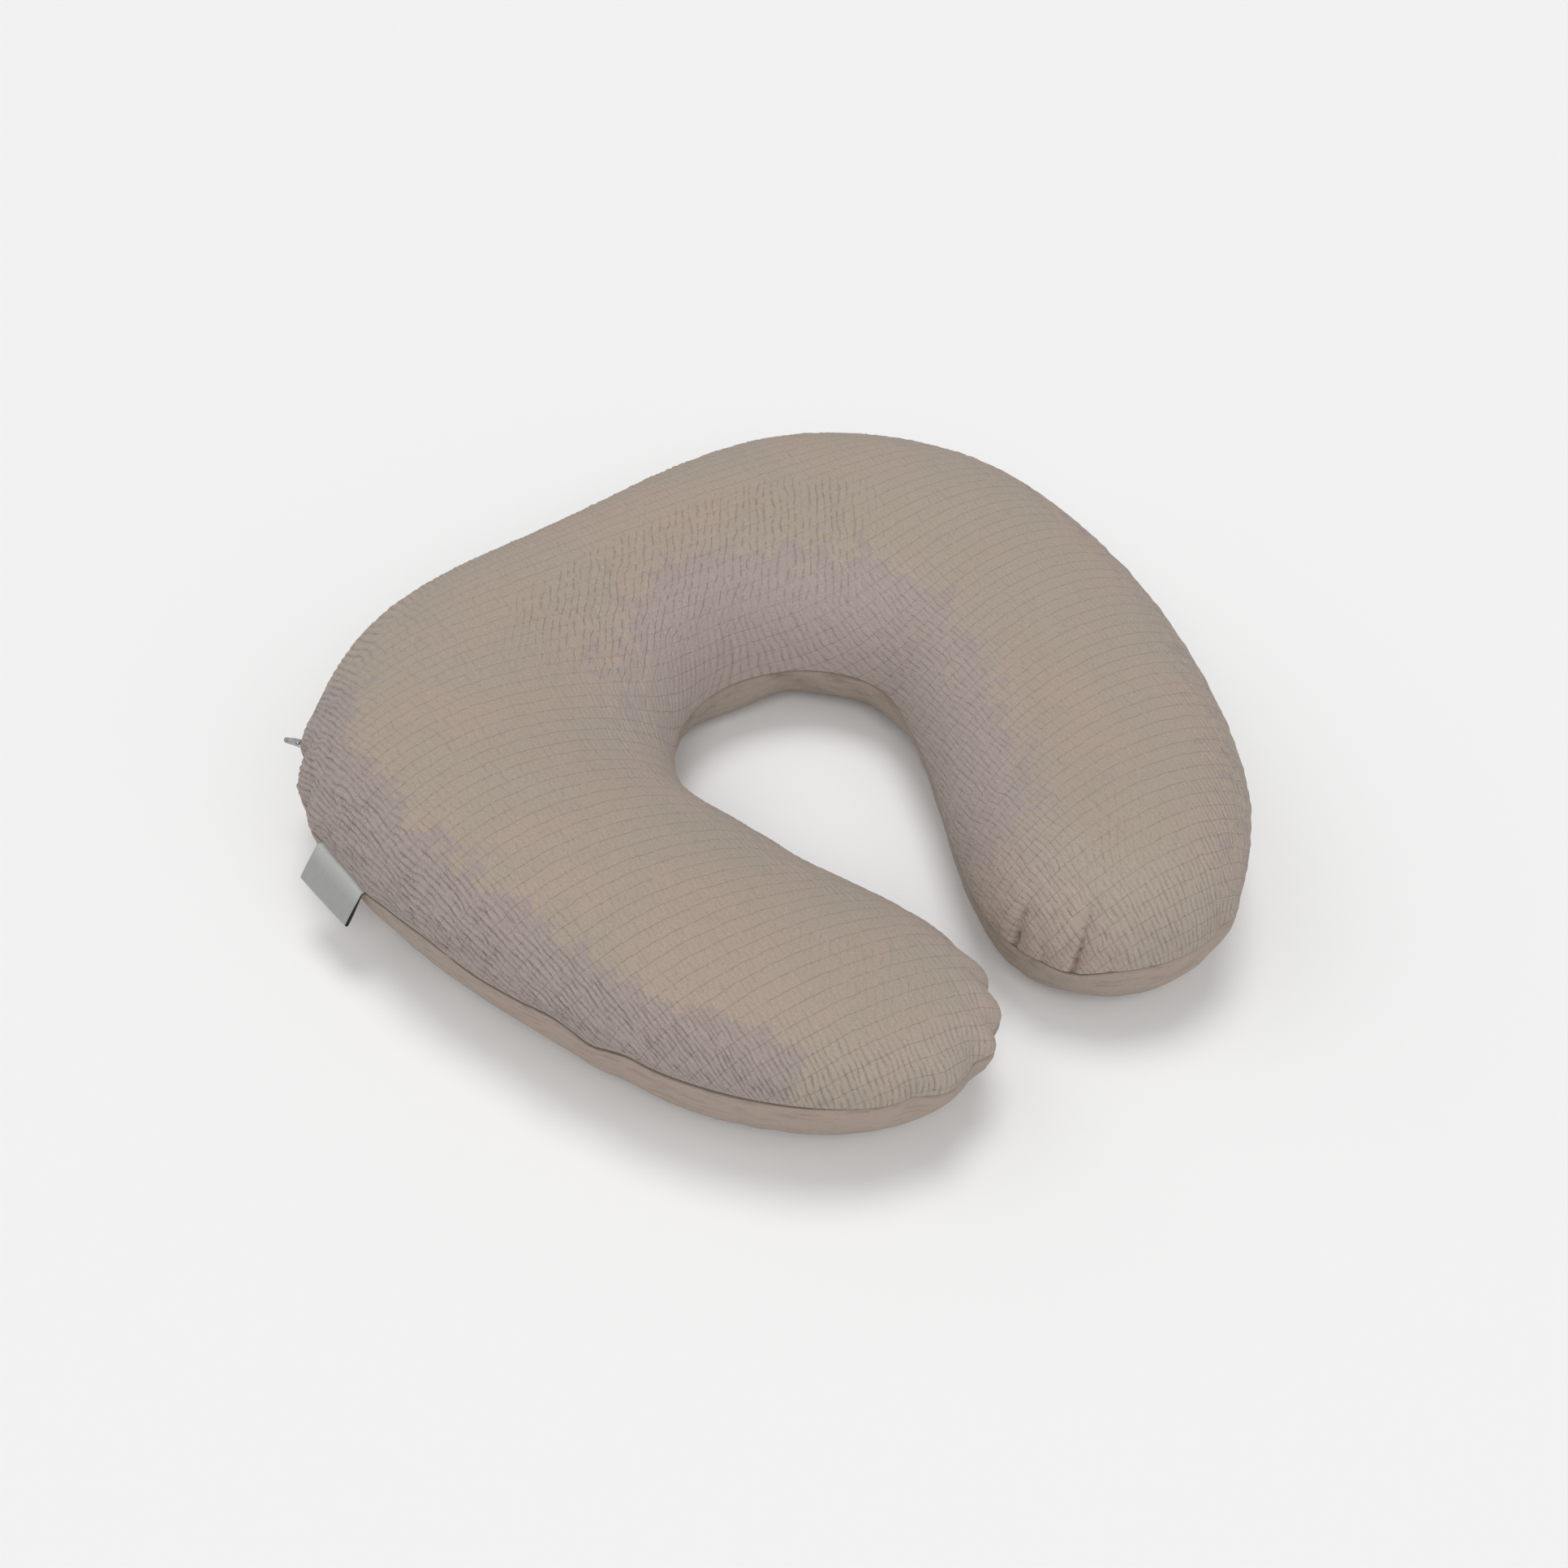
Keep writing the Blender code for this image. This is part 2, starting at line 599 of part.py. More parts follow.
def make_pull(collection):
    """Flat pull hanging on the slider's bridge, with a small round hole near its tip."""
    curve = bpy.data.curves.new("zip_pull", "CURVE")
    curve.dimensions = "2D"
    curve.fill_mode = "BOTH"
    curve.extrude = PULL_THICKNESS / 2 * MM
    for outline in (pull_outline(), pull_eye(), pull_hole()):
        add_spline(curve, outline)
    pull = bpy.data.objects.new("zip_pull", curve)
    pull.data.materials.append(make_material("pull_metal", METAL_COLOUR, 0.35, 0.9))
    swing = math.radians(PULL_SWING)
    along = Vector((math.sin(swing), 0, math.cos(swing)))
    wide = Vector((0, 1, 0))
    turn = Matrix((along, wide, along.cross(wide))).transposed().to_4x4()
    root = Vector((0, 0, SLIDER_DEPTH + BRIDGE_SLOT_HEIGHT / 2)) * MM
    pull.matrix_world = slider_frame() @ Matrix.Translation(root) @ turn
    collection.objects.link(pull)
    return pull


def centre_on_origin(pieces, helpers):
    """Hang everything on an empty that brings the middle of the pieces' box over the origin."""
    bpy.context.view_layer.update()
    depsgraph = bpy.context.evaluated_depsgraph_get()
    points = []
    for piece in pieces:
        shape = piece.evaluated_get(depsgraph)
        points += [piece.matrix_world @ vertex.co for vertex in shape.to_mesh().vertices]
        shape.to_mesh_clear()
    points = np.array(points)
    middle = (points.min(0) + points.max(0)) / 2
    origin = bpy.data.objects.new("pillow_origin", None)
    origin.location = (-middle[0], -middle[1], 0)
    bpy.context.scene.collection.objects.link(origin)
    for hung in pieces + helpers:
        hung.parent = origin


def main():
    clear_scene()
    parts = new_collection(PART_NAME)
    cutters = new_collection("cutters")
    pillow = make_pillow(parts)
    label = make_label(parts)
    tape = make_tape(parts)
    slider = make_slider(parts, cutters)
    pull = make_pull(parts)
    centre_on_origin([pillow, label, tape, slider, pull], list(cutters.objects))


main()
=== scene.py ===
"""Looks of the U-shaped nursing and body pillow: a crinkled top panel and a plain lower panel joined
by a drawn-in seam, with a closed zip and a bare ribbon label, on a plain pale floor.

Tables and lengths are in millimetres in the tables' own plan; one shift lays them on the frame.
"""

import math
from collections import namedtuple

import bmesh
import bpy
import numpy as np
from mathutils import Matrix, Vector, geometry
from mathutils.bvhtree import BVHTree


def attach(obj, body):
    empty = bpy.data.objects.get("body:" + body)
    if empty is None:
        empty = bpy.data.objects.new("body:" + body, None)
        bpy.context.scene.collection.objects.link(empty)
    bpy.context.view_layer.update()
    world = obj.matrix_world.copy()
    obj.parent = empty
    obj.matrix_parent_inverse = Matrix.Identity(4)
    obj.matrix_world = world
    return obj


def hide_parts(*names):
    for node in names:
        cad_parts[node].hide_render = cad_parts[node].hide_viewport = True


MM = 0.001
BODY = "root"

# ---------------- the pillow's form
# One row for each cross section, from the left arm's end round the back to the right arm's end:
# where the seam runs on the outer and the inner side, and how far the crown rises over the seam.
Section = namedtuple("Section", "outer_x outer_y inner_x inner_y crown")
SECTIONS = [Section(*row) for row in (
    (-189, -260, -34, -144, 56),
    (-241, -170, -48, -110, 62),
    (-277, -81, -63, -77, 69),
    (-299, 14, -74, -42, 75),
    (-288, 102, -67, -4, 79),
    (-205, 196, -44, 30, 80),
    (-76, 222, -8, 51, 82),
    (48, 241, 32, 52, 83),
    (169, 235, 70, 35, 81),
    (269, 148, 96, -2, 80),
    (297, 24, 92, -47, 78),
    (285, -94, 79, -93, 76),
    (248, -205, 63, -134, 74),
    (205, -270, 49, -173, 73),
)]
LEFT_NOSE = 142  # how far the left arm's rounded end runs on past the first section
RIGHT_NOSE = 98  # the same at the right arm, past the last section
NOSE_POINTS = 3  # guide points round an arm's end
OUTER_SEAM_HEIGHT = 64
INNER_SEAM_HEIGHT = 46
SEAM_DRAW_IN = 3.0  # how deep the seam is pulled in between the two panels
FOOT_SHARE = 0.5  # share of a section's half width that lies flat on the surface
TOP_POWER = 1.95  # 2 is an ellipse, more is squarer
LOW_POWER = 1.9

# Where the cover stands out (+) or is drawn in (-) along the seam, and where the seam climbs or
# dips. Places along the seam are counted from the left arm's first section up the left side,
# round the back, down the right arm and back through the hollow.
EdgeWave = namedtuple("EdgeWave", "place half_length out up")
EDGE_WAVES = [EdgeWave(*row) for row in (
    (47, 12, 0.5, 3.0),
    (75, 12, 0.0, -4.0),
    (104, 17, 1.0, 4.5),
    (160, 22, 0.0, -1.5),
    (208, 20, 1.0, 4.0),
    (268, 15, 0.0, -4.0),
    (336, 10, 3.0, 0.0),
    (352, 6, -2.5, 0.5),
    (372, 13, 3.5, -0.5),
    (396, 8, -2.0, 0.0),
    (415, 11, 4.0, 1.0),
    (470, 22, -2.0, -1.0),
    (1531, 10, 2.5, 0.5),
    (1546, 6, -2.0, 0.0),
    (1649, 16, 0.0, -4.0),
    (1691, 9, -1.0, -1.0),
    (2423, 8, -2.5, 0.0),
    (2440, 9, 3.0, 0.5),
    (2455, 7, -2.5, -0.5),
    (2471, 9, 3.5, 0.5),
    (2486, 6, -1.5, 0.0),
    (2498, 8, 4.0, -0.5),
    (2514, 8, -2.0, 0.0),
    (2541, 12, 3.0, 0.0),
    (2562, 10, -2.5, 0.0),
)]
EDGE_WAVE_REACH = 26  # how far from the seam such a wave is still felt over the cover

# Pleats that rise from the seam over the arms' ends, and soft bulges of the lower panel inside
# the hollow. Lean is how far the pleat drifts along the seam by its far end.
Pleat = namedtuple("Pleat", "place lean length half_width depth")
PLEATS = [Pleat(*row) for row in (
    (1690, -2, 40, 6.5, 2.2),
    (1648, -7, 56, 7.0, 2.6),
    (1600, 6, 26, 6.0, 1.2),
    (1560, -5, 24, 6.0, 1.0),
    (2520, -8, 26, 7.0, 1.4),
    (2600, 6, 24, 8.0, 1.2),
)]
# Sharp creases at the bottom of the deepest pleats and between them, and then creases of the
# lower panel.
CREASES = [Pleat(*row) for row in (
    (1691, -2, 46, 2.1, 4.0),
    (1649, -8, 56, 2.2, 4.4),
    (1626, 2, 24, 1.6, 1.2),
    (1668, 4, 28, 1.6, 1.3),
    (1600, 4, 30, 1.7, 1.1),
    (2463, -3, 22, 1.7, 1.4),
    (2514, -6, 26, 1.7, 1.3),
    (2562, 4, 24, 1.7, 1.2),
)]
LOW_CREASES = [Pleat(*row) for row in (
    (2030, -70, 46, 7.0, 3.0),
    (1990, -60, 40, 6.0, 2.2),
    (2095, 40, 46, 7.0, 2.8),
    (2070, 30, 40, 3.5, 1.4),
    (1675, 20, 40, 2.4, 1.5),
    (120, -22, 36, 2.6, 1.0),
    (190, -30, 36, 2.6, 1.2),
    (2562, 16, 30, 2.4, 1.2),
)]
DEEPEST_CREASE = 4.0  # a crease of this depth gets the darkest painted shade
PLEAT_FADE = 0.7  # how slowly a pleat dies away: 1 is evenly, less is later
PLEAT_START = 12.0  # pleats grow from nothing over this distance from the seam
CREASE_START = 2.0  # and creases over this one
CREASE_POWER = 1.4  # 2 is a round valley, less is sharper
PLEAT_LIP_SHARE = 0.6  # height of the lip beside a pleat, as a share of its depth
PLEAT_LIP_OFFSET = 1.7  # half widths from the pleat to its lip
LowerBulge = namedtuple("LowerBulge", "place half_length out")
LOWER_BULGES = [LowerBulge(*row) for row in (
    (2052, 22, 4.0),
    (2015, 12, -1.5),
    (1985, 18, 2.5),
    (1945, 20, 3.5),
    (1905, 14, -1.5),
)]

# ---------------- fineness of the cover
RING_STEP = 2.35  # between columns along the seam
PATH_FINENESS = 200  # steps between two guide points, to measure the seam's length
ARC_ROWS = 48  # rows of the arc length table of each column
SHEET_ROWS = 30  # rows of the top panel on its drawing plane
FOOT_FLATNESS = 0.01  # the frame's points below this height belong to its foot
GRID_U = 1.2  # between grid points across the crinkle's ridges
GRID_V = 3.5  # between grid points along them
GRID_CLEAR = 1.2  # the grid stops this far from the outermost ring of the top panel
# Rows beside the seam, by their distance from it, on the top and on the lower panel.
TOP_SEAM_ROWS = (0.5, 1.1, 1.8, 2.5, 3.2, 3.9, 4.6, 5.4, 6.3)
LOW_SEAM_ROWS = (0.5, 1.2, 2.2, 3.4, 5.0)
LOW_ROWS = 9  # rows of the lower panel between those and the foot

# ---------------- the crinkled cloth
RIDGE_PITCH = 3.9
RIDGE_SHARPNESS = 0.8  # below 1 the valleys are narrower than the ridges
FLANK_SHEAR = -0.17  # how far the ridges lean on the left arm's outer flank
FLANK_SHEAR_FROM, FLANK_SHEAR_LENGTH = -140, -130  # grown in from this place across the cloth
FLANK_SHEAR_PIVOT = -100  # and about this place along it
CROWN_RELIEF = 0.20  # height of the ridges where the cloth lies level, on the crowns
FLANK_RELIEF = 0.66  # the same where it falls steeply
SLOPE_LEVEL = 0.98  # upward part of the normal on a crown
SLOPE_STEEP = 0.74  # the same on a flank
LEFT_MORE = 0.35  # by what share the ridges are higher on the left flank,
HOLLOW_LESS = 0.38  # and lower in the hollow,
TIP_LESS = 0.36  # round the arms' ends
ZIP_LESS = 0.55  # and beside the zip
ZIP_CALM_FADE = 30.0  # over this length beyond the zip's ends
ZIP_CALM_REACH = 60.0  # and this far from the seam
CALM_FROM, CALM_LENGTH = 1.0, 6.0  # the ridges grow in over this length from the seam
RUMPLE_REACH = 24.0  # the cloth is more rumpled this far to the sides of a crease
RUMPLE_LENGTHS = 1.5  # and this many of its lengths from the seam
RUMPLE_RELIEF = 0.45
LINE_PITCH = 9.9  # between the fine drawn threads that cross the ridges

# On the slope from the back's crown into the hollow, short upright creases replace the ridges.
UPRIGHT_TURN = 30.0  # degrees between them and the ridges
UPRIGHT_PITCH = 5.2
UPRIGHT_RELIEF = 0.62
UPRIGHT_FROM, UPRIGHT_TO = 26.0, 185.0  # distances from the hollow's seam
UPRIGHT_FADE = 45.0

# Noise: its size, the length of a bump across and along the cloth, and its seed.
Wander = namedtuple("Wander", "size across along seed")
RIDGE_BENDS = (Wander(1.5, 14, 20, 1), Wander(1.0, 6, 8, 2), Wander(0.45, 3, 5, 9))
UPRIGHT_BENDS = (Wander(1.6, 12, 12, 6), Wander(1.0, 5, 6, 7))
BARK = (Wander(0.65, 2.8, 5, 4), Wander(0.25, 6.5, 11, 5))
LOW_SWELLS = (Wander(0.9, 26, 26, 11),)
LOW_SLACK = (Wander(0.5, 11, 11, 12),)
LOW_SLACK_SLANT = 11 / 30  # how far the slack's bumps shift along the seam on their way down

# How strongly the ridges stand out from patch to patch.
Patches = namedtuple("Patches", "mean spread seed")
RIDGE_PATCHES = Patches(0.78, 0.75, 3)
UPRIGHT_PATCHES = Patches(0.7, 0.8, 8)
PATCHES_A_RIDGE = 0.9
PATCH_LENGTH = 8
PATCH_LEAST, PATCH_MOST = 0.1, 1.4

# Which way the cover faces: from what part of its outward direction that counts, and over how
# much more it comes to count in full.
FACING_FRONT = (0.35, 0.4)
FACING_LEFT = (0.40, 0.35)
FACING_RIGHT = (0.3, 0.4)

# Painted shade: a darker mauve tint painted on the slopes that face away from the lamps. Its share
# on the hollow's slopes that face left and on the right flank, and where it ends.
LEFT_SHARE, RIGHT_SHARE = 0.85, 0.38
HOLLOW_SHADE_TO, HOLLOW_SHADE_FADE = 0.45, 0.35  # shares of the way to the outer side
TIP_SHADE_END = 1705.0  # along the seam, at the right arm's end
LEFT_SHADE_END = 470.0  # on the left flank, past the zip's slider
SHADE_END_FADE = 70.0
HOLLOW_PALER = 0.35  # by what share a flank counts for less in the hollow, for fainter painted valley shade and crest highlight

# ---------------- the seam and its zip
SEAM_CREASE = 0.75  # how far from the seam the cloth is drawn in
SEAM_CREASE_POWER = 1.3
LOWER_STEP = 0.9  # how much further in the lower panel lies than the top one at the seam
LOWER_STEP_REACH = 6.0
SEAM_SHADE_HALF = 0.75  # half width of the painted shade along the seam's groove
SEAM_SHADE_LEFT, SEAM_SHADE_HOLLOW = 1.0, -0.25  # how much wider it is there
ZIP_FROM, ZIP_TO = 424, 724
PLACKET_FROM, PLACKET_TO = 400, 742
PLACKET_FADE = 9.0
# Folds of the placket that covers the zip: distance from the seam, half width, height.
Roll = namedtuple("Roll", "at half_width height")
TOP_ROLLS = (Roll(1.7, 0.75, 1.3), Roll(3.1, 0.5, -0.6), Roll(4.3, 0.7, 0.75), Roll(5.5, 0.5, -0.35))
LOW_ROLLS = (Roll(1.7, 0.8, 1.1), Roll(3.4, 0.8, -0.5))


# ---------------- curves through the table
def closed_curve(points, places):
    """Smooth closed curve through points; a whole-numbered place lies on a point."""
    points = np.asarray(points, float).reshape(len(points), -1)
    count = len(points)
    rows = np.arange(count)
    weights = np.zeros((count, count))
    weights[rows, rows] = 4 / 6
    weights[rows, (rows + 1) % count] += 1 / 6
    weights[rows, (rows - 1) % count] += 1 / 6
    control = np.linalg.solve(weights, points)
    places = np.asarray(places, float) % count
    start = np.floor(places).astype(int)
    f = (places - start)[:, None]
    return ((1 - f) ** 3 * control[(start - 1) % count]
            + (3 * f ** 3 - 6 * f ** 2 + 4) * control[start % count]
            + (-3 * f ** 3 + 3 * f ** 2 + 3 * f + 1) * control[(start + 1) % count]
            + f ** 3 * control[(start + 2) % count]) / 6


def there_and_back(values):
    """The values forwards and then backwards, so that a closed curve retraces itself."""
    values = np.asarray(values, float)
    return np.concatenate([values, values[-2:0:-1]])


def nose_points(outer, inner, length):
    """Guide points round an arm's end: half an ellipse from the outer to the inner side."""
    across = (outer - inner) / 2
    ahead = np.array([across[1], -across[0]]) / np.hypot(*across) * length
    turn = np.arange(1, NOSE_POINTS + 1) / (NOSE_POINTS + 1) * math.pi
    middle = (outer + inner) / 2
    return middle + np.cos(turn)[:, None] * across + np.sin(turn)[:, None] * ahead


def smooth_step(value, start=0, length=1):
    """0 up to the start, then rising smoothly to 1 over the length."""
    value = np.clip((value - start) / length, 0, 1)
    return value * value * (3 - 2 * value)


def bell(value, half_width=1):
    return np.exp(-(value / half_width) ** 2)


class Ring:
    """The cover's columns, evenly spaced along the seam: one crest point and seam point each."""

    def __init__(self):
        outer, inner, crown = np.split(np.array(SECTIONS, float), (2, 4), axis=1)
        last = len(SECTIONS) - 1
        nose = NOSE_POINTS + 1
        edge = np.vstack([
            outer,
            nose_points(outer[-1], inner[-1], RIGHT_NOSE),
            inner[::-1],
            nose_points(outer[0], inner[0], -LEFT_NOSE)[::-1],
        ])
        fall = (INNER_SEAM_HEIGHT - OUTER_SEAM_HEIGHT) * smooth_step(np.arange(1, nose), 0, nose)
        heights = np.concatenate([
            np.full(last + 1, OUTER_SEAM_HEIGHT),
            OUTER_SEAM_HEIGHT + fall,
            np.full(last + 1, INNER_SEAM_HEIGHT),
            INNER_SEAM_HEIGHT - fall,
        ])

        fine = np.linspace(0, len(edge), PATH_FINENESS * len(edge) + 1)
        path = closed_curve(edge, fine)
        run = np.concatenate([[0.0], np.cumsum(np.hypot(*np.diff(path, axis=0).T))])
        self.length = run[-1]
        self.count = int(round(self.length / RING_STEP))
        self.distance = np.arange(self.count) * self.length / self.count
        place = np.interp(self.distance, run, fine)
        station = np.minimum(place, last) + np.clip(place - last - nose, 0, last)

        self.seam = closed_curve(edge, place)
        self.height = closed_curve(heights, place)[:, 0]
        self.crest = closed_curve(there_and_back((outer + inner) / 2), station)
        self.rise = closed_curve(there_and_back(crown), station)[:, 0]
        ahead = np.roll(self.seam, -1, 0) - np.roll(self.seam, 1, 0)
        ahead /= np.hypot(*ahead.T)[:, None]
        self.outward = np.column_stack([-ahead[:, 1], ahead[:, 0]])
        # 1 on the outer side and 0 in the hollow, with a smooth change round each arm's end.
        self.outer_side = (1 - smooth_step(place, last, nose)
                           + smooth_step(place, 2 * last + nose, nose))
        self.edge_out = np.zeros(self.count)
        self.edge_up = np.zeros(self.count)
        for wave in EDGE_WAVES:
            weight = bell(self.along(wave.place, self.distance), wave.half_length)
            self.edge_out += wave.out * weight
            self.edge_up += wave.up * weight

    def along(self, place, distance):
        """Signed distance along the seam from a place, the short way round."""
        return (distance - place + self.length / 2) % self.length - self.length / 2

    def span(self, first, last, fade, distance):
        """1 between two places along the seam, falling to 0 over the fade outside them."""
        middle = (first + last) / 2
        beyond = np.abs(self.along(middle, distance)) - (last - first) / 2
        return smooth_step(1 - beyond / fade)

    def read(self, values, column):
        """Values at fractional columns."""
        start = np.floor(column).astype(int)
        share = column - start
        low = values[start % self.count]
        high = values[(start + 1) % self.count]
        if values.ndim > 1:
            share = share[:, None]
        return low * (1 - share) + high * share


class Profile:
    """One panel's cross sections: points at any column and angle, and distances down them."""

    def __init__(self, ring, top):
        self.ring = ring
        self.top = top
        self.angles = np.linspace(*((90, 0) if top else (0, 90)), ARC_ROWS + 1)
        columns = np.arange(ring.count, dtype=float)
        rows = np.array([self.points(columns, np.full(ring.count, a)) for a in self.angles])
        steps = np.linalg.norm(np.diff(rows, axis=0), axis=2)
        self.arcs = np.vstack([np.zeros(ring.count), np.cumsum(steps, 0)])
        self.total = self.arcs[-1]

    def points(self, column, degrees):
        """Points of the plain form, without its waves, pleats and crease."""
        ring = self.ring
        angle = np.radians(degrees)
        seam = ring.read(ring.seam, column)
        crest = ring.read(ring.crest, column)
        seam_height = ring.read(ring.height, column)
        cosine = np.clip(np.cos(angle), 0, 1)
        cosine[degrees >= 90] = 0
        if self.top:
            mean_height = (OUTER_SEAM_HEIGHT + INNER_SEAM_HEIGHT) / 2
            reach = cosine ** (2 / TOP_POWER)
            height = mean_height + (seam_height - mean_height) * reach
            height = height + ring.read(ring.rise, column) * np.sin(angle) ** (2 / TOP_POWER)
        else:
            reach = FOOT_SHARE + (1 - FOOT_SHARE) * cosine ** (2 / LOW_POWER)
            height = seam_height * (1 - np.sin(angle) ** (2 / LOW_POWER))
        return np.column_stack([crest + (seam - crest) * reach[:, None], height])

    def angle_at(self, arc):
        """Angle of each column at its own distance down from the panel's first row."""
        return np.array([np.interp(arc[k], self.arcs[:, k], self.angles)
                         for k in range(self.ring.count)])

    def arc_at(self, column, degrees):
        """Distance down from the panel's first row at fractional columns."""
        row = np.interp(degrees, (0, 90), (ARC_ROWS, 0) if self.top else (0, ARC_ROWS))
        low = np.clip(np.floor(row).astype(int), 0, ARC_ROWS - 1)
        arcs = self.ring.read(self.arcs.T, column)
        spot = np.arange(len(column))
        return arcs[spot, low] * (1 - row + low) + arcs[spot, low + 1] * (row - low)


# ---------------- the crinkle
def wander(u, v, seed):
    """Smooth noise from -1 to 1 with one bump for each unit of u and v."""
    start_u = np.floor(u)
    start_v = np.floor(v)
    share_u = smooth_step(u - start_u)
    share_v = smooth_step(v - start_v)

    def corner(step_u, step_v):
        # Large factors that share no rhythm scatter the corners' values.
        mix = np.sin((start_u + step_u) * 127.1 + (start_v + step_v) * 311.7 + seed * 74.7)
        mix = mix * 43758.5453
        return 2 * (mix - np.floor(mix)) - 1

    low = corner(0, 0) * (1 - share_u) + corner(1, 0) * share_u
    high = corner(0, 1) * (1 - share_u) + corner(1, 1) * share_u
    return low * (1 - share_v) + high * share_v


def wanders(u, v, table):
    """Sum of a table's noises at a spot."""
    return sum(row.size * wander(u / row.across, v / row.along, row.seed) for row in table)


def ridge_count(u, v):
    """How many ridges lie between the flat cloth's origin and a spot; a whole number is a valley."""
    shear = smooth_step(u, FLANK_SHEAR_FROM, FLANK_SHEAR_LENGTH)
    bent = u - FLANK_SHEAR * shear * (v - FLANK_SHEAR_PIVOT)
    return (bent + wanders(u, v, RIDGE_BENDS)) / RIDGE_PITCH


def upright_count(u, v):
    """The same for the upright creases on the back's inner slope."""
    turn = math.radians(UPRIGHT_TURN)
    across = u * math.cos(turn) - v * math.sin(turn)
    along = u * math.sin(turn) + v * math.cos(turn)
    return (across + wanders(across, along, UPRIGHT_BENDS)) / UPRIGHT_PITCH


def ridge_relief(count, v, patches):
    """Height over the ridges, from about -1 in the valleys to 1, in stronger and weaker patches."""
    strength = wander(count * PATCHES_A_RIDGE, v / PATCH_LENGTH, patches.seed)
    strength = np.clip(patches.mean + patches.spread * strength, PATCH_LEAST, PATCH_MOST)
    return (2 * np.abs(np.sin(np.pi * count)) ** RIDGE_SHARPNESS - 1) * strength


# ---------------- the cover's mesh
class Cover:
    """Gathers the cover's points (column, angle, panel) and faces."""

    def __init__(self):
        self.ring = Ring()
        self.top = Profile(self.ring, True)
        self.low = Profile(self.ring, False)
        self.column, self.angle, self.panel = [], [], []
        self.faces = []
        self.count = 0

    def add_points(self, column, angle, panel):
        first = self.count
        self.column.append(column)
        self.angle.append(angle)
        self.panel.append(np.full(len(column), panel))
        self.count += len(column)
        return np.arange(first, self.count)

    def add_strip(self, upper, lower):
        """Faces between two rings of points, the upper one nearer the crest."""
        quads = np.column_stack([upper, np.roll(upper, -1), np.roll(lower, -1), lower])
        self.faces += quads.tolist()

    def lay_flat(self, column, degrees, for_grid=False):
        """Where a spot of the top panel lies on its flat cloth, or else on the drawing plane for
        its grid, on which the hollow's side is squeezed to its width in plan."""
        ring = self.ring
        crest = ring.read(ring.crest, column)
        across = ring.read(ring.seam, column) - crest
        width = np.maximum(np.hypot(*across.T), 1e-6)
        arc = self.top.arc_at(column, degrees)
        if for_grid:
            outer = ring.read(ring.outer_side, column)
            arc = arc * (outer + (1 - outer) * width / ring.read(self.top.total, column))
        return crest + across * (arc / width)[:, None]


class Sheet:
    """The top panel laid on the drawing plane, from the crest to a rim."""

    def __init__(self, cover, rim_arc):
        count = cover.ring.count
        here = np.arange(count)
        beside = (here + 1) % count
        rim_angle = cover.top.angle_at(rim_arc)
        angles = [90 + (rim_angle - 90) * row / SHEET_ROWS for row in range(SHEET_ROWS + 1)]
        self.angles = np.concatenate(angles)
        self.points = np.vstack([cover.lay_flat(here.astype(float), angle, for_grid=True)
                                 for angle in angles])
        triangles = []
        columns = []
        for row in range(SHEET_ROWS):
            a, b = row * count + here, row * count + beside
            c, d = b + count, a + count
            triangles += [np.column_stack([a, d, c]), np.column_stack([a, c, b])]
            columns += [np.column_stack([here, here, here + 1]),
                        np.column_stack([here, here + 1, here + 1])]
        self.triangles = np.vstack(triangles)
        self.columns = np.vstack(columns)
        self.tree = BVHTree.FromPolygons([(x, y, 0.0) for x, y in self.points],
                                         self.triangles.tolist())

    def find(self, spots):
        """Column and angle of each spot of the drawing plane; NaN beside the sheet."""
        down = Vector((0, 0, -1))
        hits = [self.tree.ray_cast(Vector((x, y, 1)), down, 2)[2] for x, y in spots]
        found = np.array([hit is not None for hit in hits])
        face = np.array([hit for hit in hits if hit is not None])
        a, b, c = (self.points[self.triangles[face, k]] for k in range(3))
        spot = spots[found]

        def cross(first, second):
            return first[:, 0] * second[:, 1] - first[:, 1] * second[:, 0]

        whole = cross(b - a, c - a)
        whole[np.abs(whole) < 1e-12] = 1e-12
        share_b = cross(spot - a, c - a) / whole
        share_c = cross(b - a, spot - a) / whole
        shares = np.column_stack([1 - share_b - share_c, share_b, share_c])
        places = np.full((2, len(spots)), np.nan)
        places[0, found] = (shares * self.columns[face]).sum(1)
        places[1, found] = (shares * self.angles[self.triangles[face]]).sum(1)
        return places


def keep_whole_cells(inside):
    """Cells whose four corners are inside, without cells that meet only at a corner."""
    cells = inside[:-1, :-1] & inside[1:, :-1] & inside[:-1, 1:] & inside[1:, 1:]
    while True:
        a, b = cells[:-1, :-1], cells[1:, 1:]
        c, d = cells[1:, :-1], cells[:-1, 1:]
        rising = a & b & ~c & ~d
        falling = c & d & ~a & ~b
        if not (rising.any() or falling.any()):
            return cells
        cells[:-1, :-1] &= ~rising
        cells[1:, :-1] &= ~falling


